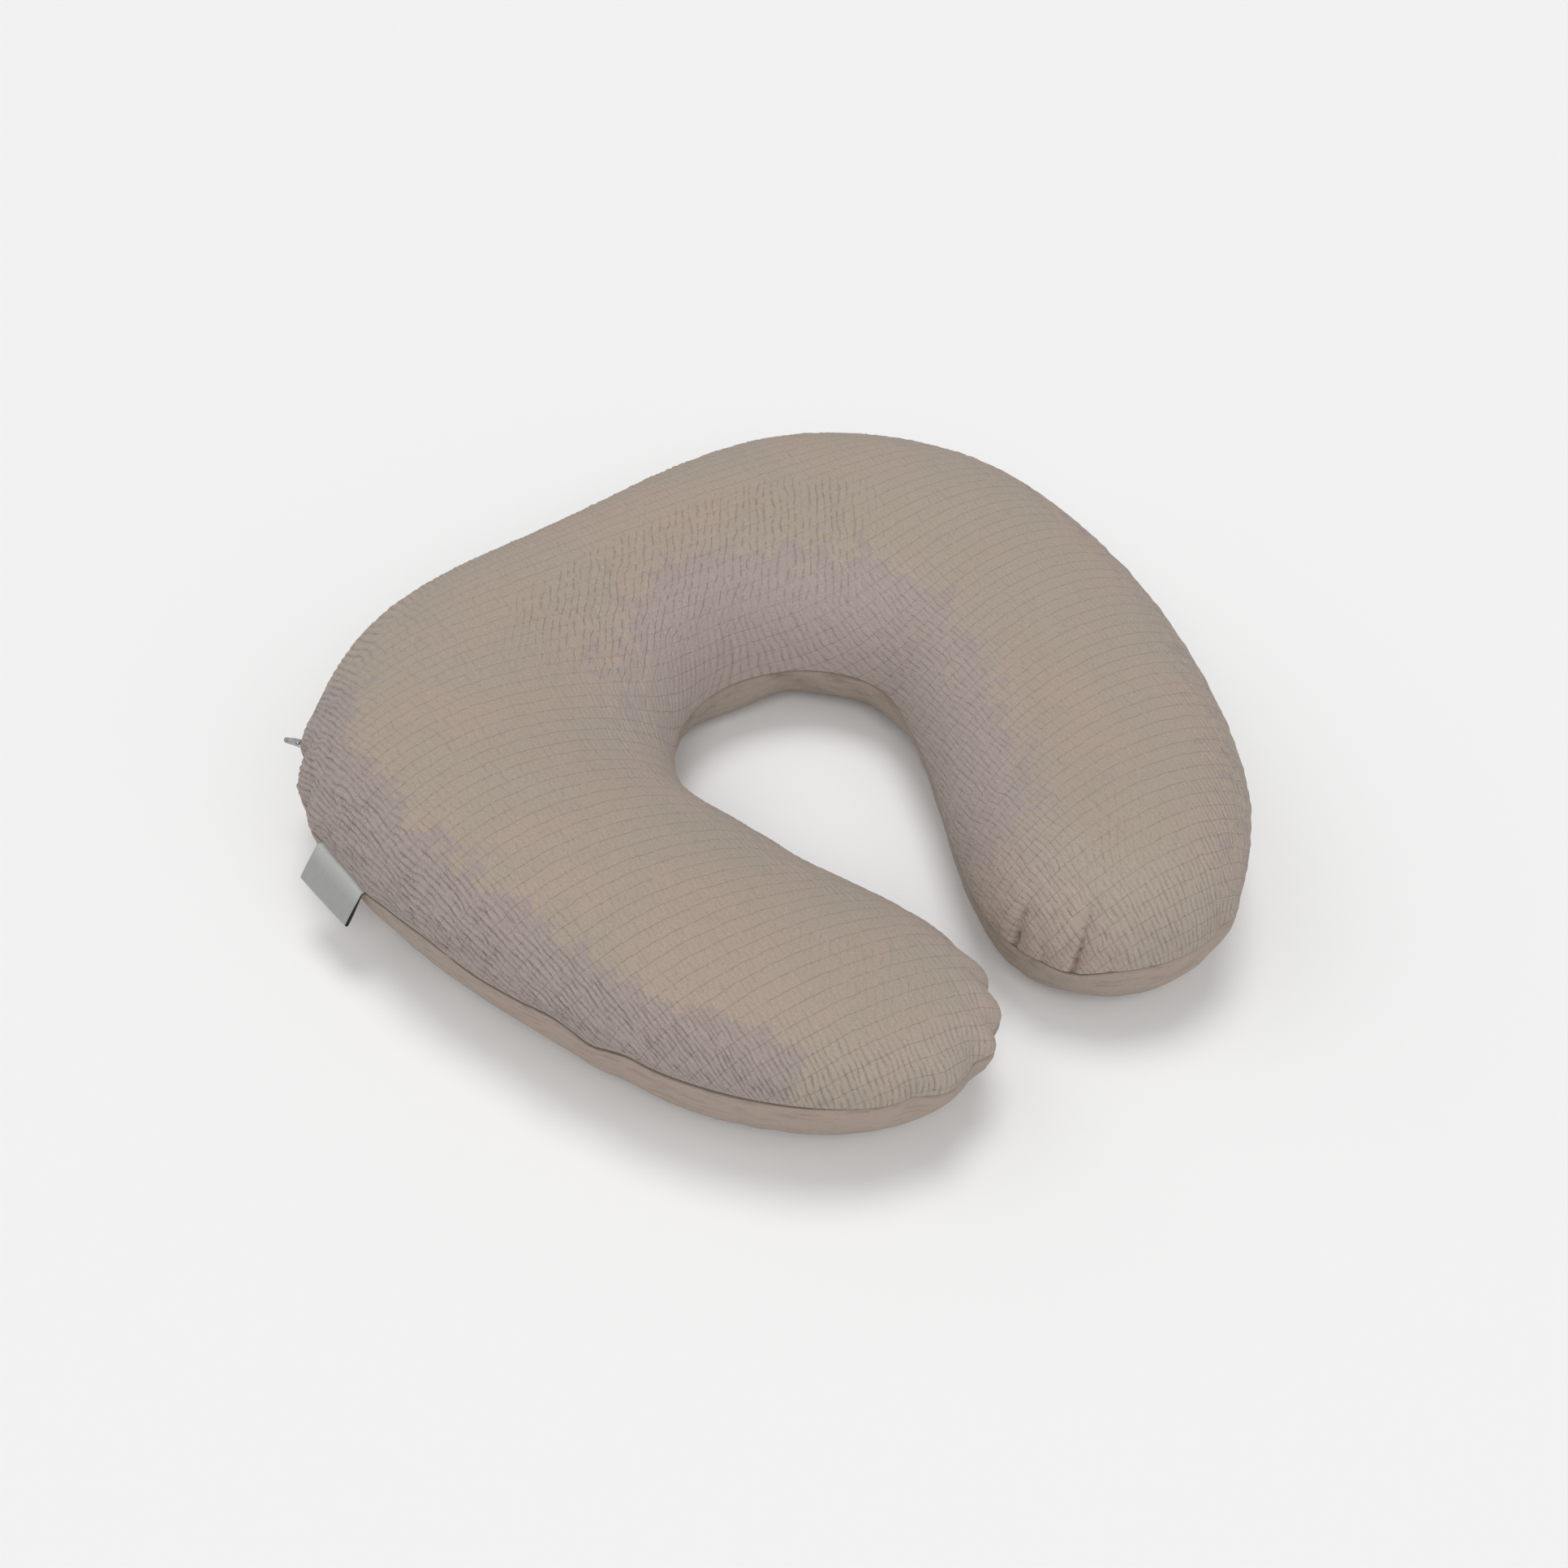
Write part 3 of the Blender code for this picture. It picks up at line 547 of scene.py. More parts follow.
def add_top_grid(cover, rim):
    """Fills the top panel with a grid along the crinkle, and joins it to the rim of points."""
    rim_arc = cover.top.total - TOP_SEAM_ROWS[-1]
    rim_spots = cover.lay_flat(np.arange(float(cover.ring.count)), cover.top.angle_at(rim_arc),
                               for_grid=True)
    low, high = rim_spots.min(0), rim_spots.max(0)
    across = np.arange(low[0], high[0], GRID_U)
    along = np.arange(low[1], high[1], GRID_V)
    shape = (len(across), len(along))
    spots = np.array([(x, y) for x in across for y in along])
    column, angle = Sheet(cover, rim_arc - GRID_CLEAR).find(spots).reshape(2, *shape)
    cells = keep_whole_cells(~np.isnan(column))
    used = np.zeros(shape, bool)
    for corners in (used[:-1, :-1], used[1:, :-1], used[:-1, 1:], used[1:, 1:]):
        corners |= cells
    number = np.full(shape, -1)
    number[used] = cover.add_points(column[used], angle[used], 0)
    u, v = np.nonzero(cells)
    quads = np.column_stack([number[u, v], number[u + 1, v], number[u + 1, v + 1],
                             number[u, v + 1]])
    cover.faces += quads.tolist()

    # The band between the grid's stepped edge and the rim.
    edges = np.vstack([quads[:, [k, (k + 1) % 4]] for k in range(4)])
    _, first, uses = np.unique(np.sort(edges, 1), axis=0, return_index=True, return_counts=True)
    border = edges[first[uses == 1]]
    names = np.concatenate([np.unique(border), rim]).tolist()
    spot_of = dict(zip(number[used].tolist() + rim.tolist(),
                       np.vstack([spots[used.ravel()], rim_spots])))
    local = {name: k for k, name in enumerate(names)}
    lines = np.vstack([border, np.column_stack([rim, np.roll(rim, -1)])]).tolist()
    made_places, _, made_faces, from_points = geometry.delaunay_2d_cdt(
        [Vector(spot_of[name]) for name in names], [(local[a], local[b]) for a, b in lines],
        [], 0, 1e-7, True)[:4]
    middles = np.array([sum((made_places[k] for k in face), Vector((0, 0))) / 3
                        for face in made_faces])
    within = ~np.isnan(Sheet(cover, rim_arc).find(middles)[0])
    cell = np.floor((middles - (across[0], along[0])) / (GRID_U, GRID_V)).astype(int)
    in_range = ((cell >= 0) & (cell < cells.shape)).all(1)
    taken = np.zeros(len(middles), bool)
    taken[in_range] = cells[tuple(cell[in_range].T)]
    for face, keep in zip(made_faces, within & ~taken):
        if keep:
            a, b, c = (made_places[k] for k in face)
            corners = [names[from_points[k][0]] for k in face]
            cover.faces.append(corners if (b - a).cross(c - a) > 0 else corners[::-1])


def build_cover_points(cover):
    """All points and faces, from the top panel over the seam to under the foot."""
    columns = np.arange(float(cover.ring.count))
    rings = [cover.add_points(columns, cover.top.angle_at(cover.top.total - gap), 0)
             for gap in TOP_SEAM_ROWS[::-1]]
    rings.append(cover.add_points(columns, np.zeros(cover.ring.count), 0))
    add_top_grid(cover, rings[0])
    for upper, lower in zip(rings[:-1], rings[1:]):
        cover.add_strip(upper, lower)
    cover.low_faces_first = len(cover.faces)
    reach = cover.low.total - LOW_SEAM_ROWS[-1]
    arcs = [np.full(cover.ring.count, gap) for gap in LOW_SEAM_ROWS]
    arcs += [LOW_SEAM_ROWS[-1] + reach * row / LOW_ROWS for row in range(1, LOW_ROWS + 1)]
    for arc in arcs:
        rings.append(cover.add_points(columns, cover.low.angle_at(arc), 1))
        cover.add_strip(*rings[-2:])


class Surface:
    """The cover's points and where each lies on it, and the steps that shape and shade them."""

    def __init__(self, cover):
        self.ring = ring = cover.ring
        column, angle, panel = (np.concatenate(part)
                                for part in (cover.column, cover.angle, cover.panel))
        self.top, self.low = panel == 0, panel == 1
        self.foot_rim = self.low & (angle >= 90)
        self.points = np.zeros((len(column), 3))
        self.from_seam = np.zeros(len(column))
        for profile, mine in ((cover.top, self.top), (cover.low, self.low)):
            self.points[mine] = profile.points(column[mine], angle[mine])
            self.from_seam[mine] = profile.arc_at(column[mine], angle[mine])
        total = ring.read(cover.top.total, column)
        self.from_seam = np.maximum(np.where(self.top, total - self.from_seam, self.from_seam), 0)
        self.cloth = np.zeros((len(column), 2))
        self.cloth[self.top] = cover.lay_flat(column[self.top], angle[self.top])
        self.foot_clear = np.clip(self.points[:, 2] / ring.read(ring.height, column), 0, 1)
        self.distance = column * ring.length / ring.count
        self.seam, self.outward, self.edge_out, self.edge_up, self.outer = (
            ring.read(values, column) for values in
            (ring.seam, ring.outward, ring.edge_out, ring.edge_up, ring.outer_side))
        self.leftward = smooth_step(-self.outward[:, 0], *FACING_LEFT) * self.outer

    def along(self, place):
        """Distance of each point along the seam from a place."""
        return self.ring.along(place, self.distance)

    def over_pleat(self, pleat):
        """How far each spot lies to the side of a pleat, and how much of the pleat is left."""
        share = self.from_seam / pleat.length
        across = self.along(pleat.place) - pleat.lean * share
        return across / pleat.half_width, np.clip(1 - share, 0, 1) ** PLEAT_FADE

    def folds(self):
        """How far pleats, creases and bulges push the cloth out."""
        push = np.zeros(len(self.points))
        for pleat in PLEATS:
            across, left = self.over_pleat(pleat)
            rise = PLEAT_LIP_SHARE * bell(across - PLEAT_LIP_OFFSET) - bell(across)
            hold = smooth_step(self.from_seam, 0, PLEAT_START)
            push += self.top * pleat.depth * left * hold * rise
        for bulge in LOWER_BULGES:
            weight = bell(self.along(bulge.place), bulge.half_length)
            push += self.low * bulge.out * weight * np.sin(np.pi * self.foot_clear)
        # How deep each spot lies in a crease, for the painted shade in the creases.
        self.crease_shade = np.zeros(len(self.points))
        for panel, creases in ((self.top, CREASES), (self.low, LOW_CREASES)):
            for crease in creases:
                across, left = self.over_pleat(crease)
                valley = panel * left * np.exp(-np.abs(across) ** CREASE_POWER)
                push -= crease.depth * valley * smooth_step(self.from_seam, 0, CREASE_START)
                self.crease_shade = np.maximum(self.crease_shade, valley * crease.depth / DEEPEST_CREASE)
        return push

    def crinkle(self):
        """How far the crinkle pushes the top panel's cloth out."""
        u, v = self.cloth.T
        self.ridges = ridge_count(u, v)
        self.uprights = upright_count(u, v)
        self.upright = smooth_step(self.from_seam, UPRIGHT_FROM, UPRIGHT_FADE)
        self.upright *= smooth_step(self.from_seam, UPRIGHT_TO, -UPRIGHT_FADE)
        self.upright *= (1 - self.outer) * smooth_step(-self.outward[:, 1], *FACING_FRONT)
        relief = ridge_relief(self.ridges, v, RIDGE_PATCHES) * (1 - self.upright)
        relief += ridge_relief(self.uprights, v, UPRIGHT_PATCHES) * self.upright
        self.relief = (relief + wanders(u, v, BARK)) * self.top

        height = CROWN_RELIEF + (FLANK_RELIEF - CROWN_RELIEF) * self.flank
        height *= 1 + LEFT_MORE * self.leftward
        height *= 1 - HOLLOW_LESS * (1 - self.outer)
        height *= 1 - TIP_LESS * smooth_step(4 * self.outer * (1 - self.outer))
        zip_side = self.ring.span(ZIP_FROM, ZIP_TO, ZIP_CALM_FADE, self.distance)
        height *= 1 - ZIP_LESS * zip_side * bell(self.from_seam, ZIP_CALM_REACH)
        height += (UPRIGHT_RELIEF - height) * self.upright
        for crease in CREASES:
            height += (RUMPLE_RELIEF * crease.depth / DEEPEST_CREASE
                       * bell(self.along(crease.place), RUMPLE_REACH)
                       * bell(self.from_seam, RUMPLE_LENGTHS * crease.length))
        return height * self.relief * smooth_step(self.from_seam, CALM_FROM, CALM_LENGTH)

    def slack(self):
        """How far the lower panel's slack and the zip's placket push the cloth out."""
        x, y = self.seam.T
        soft = wanders(x, y, LOW_SWELLS) + wanders(x, y + LOW_SLACK_SLANT * self.from_seam, LOW_SLACK)
        push = soft * self.low * np.sin(np.pi * self.foot_clear)
        placket = self.ring.span(PLACKET_FROM, PLACKET_TO, PLACKET_FADE, self.distance)
        for panel, rolls in ((self.top, TOP_ROLLS), (self.low, LOW_ROLLS)):
            for roll in rolls:
                bump = bell(self.from_seam - roll.at, roll.half_width)
                push += roll.height * bump * placket * panel
        return push

    def shaped(self, normals):
        """The points with their folds, crinkle, slack, drawn-in seam and edge waves."""
        self.flank = smooth_step(normals[:, 2], SLOPE_LEVEL, SLOPE_STEEP - SLOPE_LEVEL)
        standing = self.foot_clear > 0
        push = (self.folds() + self.crinkle() + self.slack()) * standing
        points = self.points + normals * push[:, None]
        near = bell(self.from_seam, EDGE_WAVE_REACH) * np.minimum(1, 2 * self.foot_clear)
        drawn = SEAM_DRAW_IN * np.exp(-(self.from_seam / SEAM_CREASE) ** SEAM_CREASE_POWER)
        drawn += LOWER_STEP * self.low * bell(self.from_seam, LOWER_STEP_REACH)
        points[:, :2] += self.outward * (self.edge_out * near - drawn * standing)[:, None]
        points[:, 2] += self.edge_up * near
        return points

    def looks(self):
        """What the materials read at each point."""
        inner = 1 - self.outer
        # Where the mauve painted shade falls: on the hollow's slopes, on the left flank up to the zip
        # and on the right flank.
        hollow = LEFT_SHARE * np.maximum(-self.outward[:, 0], 0) + np.maximum(-self.outward[:, 1], 0)
        hollow = np.minimum(hollow, 1) * smooth_step(self.outer, HOLLOW_SHADE_TO, -HOLLOW_SHADE_FADE)
        hollow *= smooth_step(self.along(TIP_SHADE_END), 0, SHADE_END_FADE)
        left = self.leftward * smooth_step(self.along(LEFT_SHADE_END), 0, -SHADE_END_FADE)
        right = RIGHT_SHARE * smooth_step(self.outward[:, 0], *FACING_RIGHT) * self.outer
        # Half width of the painted shade along the seam's groove.
        line = SEAM_SHADE_HALF + SEAM_SHADE_LEFT * self.leftward + SEAM_SHADE_HOLLOW * inner
        return {
            "grain": np.column_stack([self.cloth, np.zeros(len(self.cloth))]),
            "edge": np.column_stack([self.seam, self.from_seam]),
            "seam_groove_shade": self.from_seam / line,
            # The crinkle's relief; the cloth gets painted shade where it is low.
            "relief": self.relief,
            "flank": self.flank * (1 - HOLLOW_PALER * inner),
            "crease_shade": self.crease_shade,
            "ridge": np.column_stack([self.ridges, self.uprights, self.upright]),
            "shaded": self.flank * np.maximum.reduce([left, hollow, right]),
            # Painted light on the hollow's slopes, which the lamps reach little.
            "hollow_painted_light": self.flank * inner,
        }


def store(mesh, name, values):
    """Keep a number or a vector for each point, for the materials to read."""
    kind, field = ("FLOAT_VECTOR", "vector") if values.ndim > 1 else ("FLOAT", "value")
    layer = mesh.attributes.new(name, kind, "POINT")
    layer.data.foreach_set(field, values.astype(np.float32).ravel())


def add_object(name, data):
    item = bpy.data.objects.new(name, data)
    bpy.context.scene.collection.objects.link(item)
    return item


def add_piece(name, mesh, materials, node):
    """A smooth piece that stands for one of the frame's nodes."""
    mesh.shade_smooth()
    for material in materials:
        mesh.materials.append(material)
    piece = add_object(name, mesh)
    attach(piece, BODY)
    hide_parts(node)
    return piece


def make_cover(materials):
    """The filled cover; returns its ring and how far the frame lies from the tables' plan."""
    cover = Cover()
    build_cover_points(cover)
    surface = Surface(cover)

    # Hold the tables' plan to the frame by the flat foot that both share.
    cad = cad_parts["pillow"].data
    foot = np.array([v.co[:] for v in cad.vertices if v.co.z < FOOT_FLATNESS * MM]) / MM
    rim = surface.points[surface.foot_rim]
    shift = (foot.min(0) + foot.max(0)) / 2 - (rim.min(0) + rim.max(0)) / 2
    shift[2] = 0

    mesh = bpy.data.meshes.new("cover")
    mesh.from_pydata(surface.points.tolist(), [], cover.faces)
    mesh.update()
    normals = np.zeros(len(mesh.vertices) * 3, np.float32)
    mesh.vertices.foreach_get("normal", normals)
    points = (surface.shaped(normals.reshape(-1, 3).astype(float)) + shift) * MM
    mesh.vertices.foreach_set("co", points.astype(np.float32).ravel())
    for name, values in surface.looks().items():
        store(mesh, name, values)
    slots = np.zeros(len(mesh.polygons), np.int32)
    slots[cover.low_faces_first:] = 1
    mesh.polygons.foreach_set("material_index", slots)
    mesh.update()

    # The flat foot closes the open rim under the pillow.
    work = bmesh.new()
    work.from_mesh(mesh)
    rim_edges = [edge for edge in work.edges if edge.is_boundary]
    for item in bmesh.ops.triangle_fill(work, use_beauty=True, edges=rim_edges)["geom"]:
        if isinstance(item, bmesh.types.BMFace):
            item.material_index = 1
    bmesh.ops.recalc_face_normals(work, faces=work.faces)
    work.to_mesh(mesh)
    work.free()
    add_piece("cover", mesh, materials, "pillow")
    return cover.ring, Vector(shift)


# ---------------- what lies along the seam
LABEL_FROM, LABEL_TO = 269, 322
LABEL_DROP = 26.5
LABEL_TILT = 54.0  # degrees below level
LABEL_SKEW = 1.3  # how much further its far end hangs than its middle
LABEL_THICKNESS = 0.4
LABEL_HALF_GAP = 1.3  # between its middle line and either layer, at the widest
LABEL_ROOT_HALF_GAP = 0.35
LABEL_OPENING = 1.8  # above 1 it opens late
LABEL_FULLEST = 0.9  # where the gap is widest, as a share of the way down
LABEL_ROOT_DEPTH = 1.8  # how far inside the seam's rim it starts
LABEL_LEVEL_RUN = 2.2  # how far it stands straight out before it hangs
LABEL_CURL = 1.2  # how far its middle stands out beyond its two ends
LABEL_LIFT = 1.0  # how much less its fold hangs in the middle
LABEL_STEPS = 26
LABEL_STATIONS = 30
LABEL_FOLD_TURNS = (22, 45, 67, 90, 113, 135, 158)


def seam_spot(ring, place):
    """Point on the seam's rim in the tables' plan, and the outward direction there."""
    column = np.array([place / ring.length * ring.count])
    outward = ring.read(ring.outward, column)[0]
    outward /= np.hypot(*outward)
    edge = ring.read(ring.seam, column)[0] + outward * ring.read(ring.edge_out, column)[0]
    height = ring.read(ring.height + ring.edge_up, column)[0]
    return Vector((*edge, height)), Vector((*outward, 0.0))


def label_outline():
    """The folded ribbon's section: steps out from the seam, steps down, way along the ribbon."""
    tilt = math.radians(LABEL_TILT)
    middle = []
    for step in range(LABEL_STEPS + 1):
        share = step / LABEL_STEPS
        run = (LABEL_DROP + LABEL_ROOT_DEPTH) * share - LABEL_ROOT_DEPTH
        level = min(run, LABEL_LEVEL_RUN)
        slant = max(run - LABEL_LEVEL_RUN, 0.0)
        opening = abs(math.sin(math.pi / 2 * share / LABEL_FULLEST)) ** LABEL_OPENING
        half_gap = LABEL_ROOT_HALF_GAP + (LABEL_HALF_GAP - LABEL_ROOT_HALF_GAP) * opening
        middle.append((level + slant * math.cos(tilt), slant * math.sin(tilt), half_gap))
    upper, lower = [], []
    for step, (out, down, half_gap) in enumerate(middle):
        before = middle[max(step - 2, 0)]
        after = middle[min(step + 2, LABEL_STEPS)]
        along = Vector((after[0] - before[0], after[1] - before[1])).normalized()
        for layer, side in ((upper, half_gap), (lower, -half_gap)):
            layer.append(Vector((out + along.y * side, down - along.x * side)))
    out, down, half_gap = middle[-1]
    along = Vector((math.cos(tilt), math.sin(tilt)))
    side = Vector((along.y, -along.x))
    fold = [Vector((out, down)) + (side * math.cos(turn) + along * math.sin(turn)) * half_gap
            for turn in map(math.radians, LABEL_FOLD_TURNS)]
    spots = upper + fold + lower[::-1]
    way = [0.0]
    for before, after in zip(spots[:-1], spots[1:]):
        way.append(way[-1] + (after - before).length)
    return spots, way


def make_label(ring, shift, materials):
    """Satin ribbon, folded once; its root follows the seam and its fold hangs straight."""
    spots, way = label_outline()
    fold_depth = max(spot.y for spot in spots)
    shares = [station / (LABEL_STATIONS - 1) for station in range(LABEL_STATIONS)]
    roots = [seam_spot(ring, LABEL_FROM + (LABEL_TO - LABEL_FROM) * share)[0] for share in shares]
    chord = roots[-1] - roots[0]
    square = Vector((-chord.y, chord.x, 0)).normalized()
    points = []
    ribbon = []
    for share, root in zip(shares, roots):
        straight = roots[0] + chord * share
        bow = math.sin(math.pi * share)
        stretch = 1 + LABEL_SKEW / LABEL_DROP * (2 * share - 1) - LABEL_LIFT / LABEL_DROP * bow
        for spot, run in zip(spots, way):
            hung = max(spot.y, 0.0) / fold_depth
            base = root.lerp(straight, hung) + square * (spot.x * stretch + LABEL_CURL * bow * hung)
            points.append((base - Vector((0, 0, spot.y * stretch)) + shift) * MM)
            ribbon.append((share * chord.length, run, min(share, 1 - share) * chord.length))
    rows = len(spots)
    firsts = [station * rows + row for station in range(LABEL_STATIONS - 1)
              for row in range(rows - 1)]
    mesh = bpy.data.meshes.new("ribbon_label")
    mesh.from_pydata(points, [], [(k, k + 1, k + rows + 1, k + rows) for k in firsts])
    store(mesh, "ribbon", np.array(ribbon))
    label = add_piece("ribbon_label", mesh, materials, "label")
    wall = label.modifiers.new("ribbon", "SOLIDIFY")
    wall.thickness = LABEL_THICKNESS * MM
    wall.offset = 0
    wall.material_offset = 1


CHAIN_PITCH = 1.5
CHAIN_INSET = 1.35  # middle of the teeth inside the seam's rim
TOOTH = (1.0, 1.0, 0.95)  # along the seam, in and out, up
TOOTH_LEAN = 0.22  # how far the teeth stand above and below the middle in turn
TOOTH_ROUNDING = 0.22
CORD_HALF = 0.35
CORD_INSET = 2.1


def make_zip_chain(ring, shift, materials):
    """The closed zip's teeth in the slit between the placket's folds, on their narrow cord."""
    work = bmesh.new()
    places = np.arange(ZIP_FROM, ZIP_TO, CHAIN_PITCH)
    size = Matrix.Diagonal((*TOOTH, 1.0))
    for number, place in enumerate(places):
        spot, out = seam_spot(ring, place)
        turn = Matrix(((-out.y, out.x, 0), out, (0, 0, 1))).transposed().to_4x4()
        lean = Vector((0, 0, TOOTH_LEAN if number % 2 else -TOOTH_LEAN))
        centre = Matrix.Translation(spot - out * CHAIN_INSET + lean + shift)
        made = bmesh.ops.create_cube(work, size=1.0)["verts"]
        bmesh.ops.transform(work, matrix=centre @ turn @ size, verts=made)
    bmesh.ops.bevel(work, geom=list(work.edges), offset=TOOTH_ROUNDING, segments=2,
                    affect="EDGES")
    rings = []
    for place in np.append(places, ZIP_TO):
        spot, out = seam_spot(ring, place)
        base = spot - out * CORD_INSET + shift
        rings.append([work.verts.new(base + (out * a + Vector((0, 0, b))) * CORD_HALF)
                      for a, b in ((1, -1), (1, 1), (-1, 1), (-1, -1))])
    for first, second in zip(rings[:-1], rings[1:]):
        for corner in range(4):
            beside = (corner + 1) % 4
            work.faces.new((first[corner], first[beside], second[beside], second[corner]))
    work.faces.new(rings[0])
    work.faces.new(rings[-1])
    bmesh.ops.scale(work, vec=(MM, MM, MM), verts=work.verts)
    bmesh.ops.recalc_face_normals(work, faces=work.faces)
    mesh = bpy.data.meshes.new("zip_chain")
    work.to_mesh(mesh)
    work.free()
    add_piece("zip_chain", mesh, materials, "zip_tape")


# ---------------- materials
def srgb(*channels):
    """Colour as the shaders take it, from the 0 to 255 values of a picture."""
    shares = [channel / 255 for channel in channels]
    return (*(share / 12.92 if share <= 0.04045 else ((share + 0.055) / 1.055) ** 2.4
              for share in shares), 1.0)


class Nodes:
    """Short ways to add shader nodes."""

    def __init__(self, name):
        self.material = bpy.data.materials.new(name)
        self.material.use_nodes = True
        self.tree = self.material.node_tree
        self.shader = self.tree.nodes["Principled BSDF"]

    def put(self, value, socket):
        if isinstance(value, bpy.types.NodeSocket):
            self.tree.links.new(value, socket)
        else:
            socket.default_value = value

    def add(self, kind, inputs=(), **settings):
        node = self.tree.nodes.new(kind)
        for key, value in settings.items():
            setattr(node, key, value)
        for key, value in dict(inputs).items():
            self.put(value, node.inputs[key])
        return node

    def attribute(self, name, output="Fac"):
        return self.add("ShaderNodeAttribute", attribute_name=name).outputs[output]

    def place(self):
        return self.add("ShaderNodeTexCoord").outputs["Object"]

    def split(self, vector):
        return self.add("ShaderNodeSeparateXYZ", {"Vector": vector}).outputs[:3]

    def math(self, operation, *values):
        node = self.add("ShaderNodeMath", operation=operation)
        for socket, value in zip(node.inputs, values):
            self.put(value, socket)
        return node.outputs[0]

    def times(self, first, *others):
        for other in others:
            first = self.math("MULTIPLY", first, other)
        return first

    def threads(self, place, pitch):
        """A wave from -1 to 1 that returns once in each pitch."""
        return self.math("SINE", self.times(place, 2 * math.pi / pitch))

    def stretched(self, vector, scale):
        node = self.add("ShaderNodeVectorMath", operation="MULTIPLY")
        self.put(vector, node.inputs[0])
        self.put(scale, node.inputs[1])
        return node.outputs[0]

    def noise(self, vector, scale, detail=2.0, rough=0.5):
        """Noise with one bump in 1 / scale; three scales stretch it first."""
        if isinstance(scale, tuple):
            vector, scale = self.stretched(vector, scale), 1.0
        return self.add("ShaderNodeTexNoise", {"Vector": vector, "Scale": scale, "Detail": detail,
                                               "Roughness": rough}).outputs["Fac"]

    def ramp(self, value, low, high, out_low=0.0, out_high=1.0):
        node = self.add("ShaderNodeMapRange", {
            "Value": value, "From Min": low, "From Max": high, "To Min": out_low,
            "To Max": out_high}, interpolation_type="SMOOTHSTEP")
        return node.outputs["Result"]

    def blend(self, colour, *tones):
        """A colour with others laid over it, each by its own share."""
        for share, tone in tones:
            node = self.add("ShaderNodeMix", data_type="RGBA")
            self.put(share, node.inputs["Factor"])
            self.put(colour, node.inputs["A"])
            self.put(srgb(*tone), node.inputs["B"])
            colour = node.outputs["Result"]
        return colour

    def heap(self, height, *layers):
        """A height with others added, each times its own factor."""
        for layer, factor in layers:
            height = self.math("MULTIPLY_ADD", layer, factor, height)
        return height

    def finish(self, height=None, distance=1.0, strength=1.0, **inputs):
        for key, value in inputs.items():
            self.put(value, self.shader.inputs[key.replace("_", " ")])
        if height is not None:
            bump = self.add("ShaderNodeBump", {"Height": height, "Distance": distance,
                                               "Strength": strength})
            self.tree.links.new(bump.outputs["Normal"], self.shader.inputs["Normal"])
        return self.material


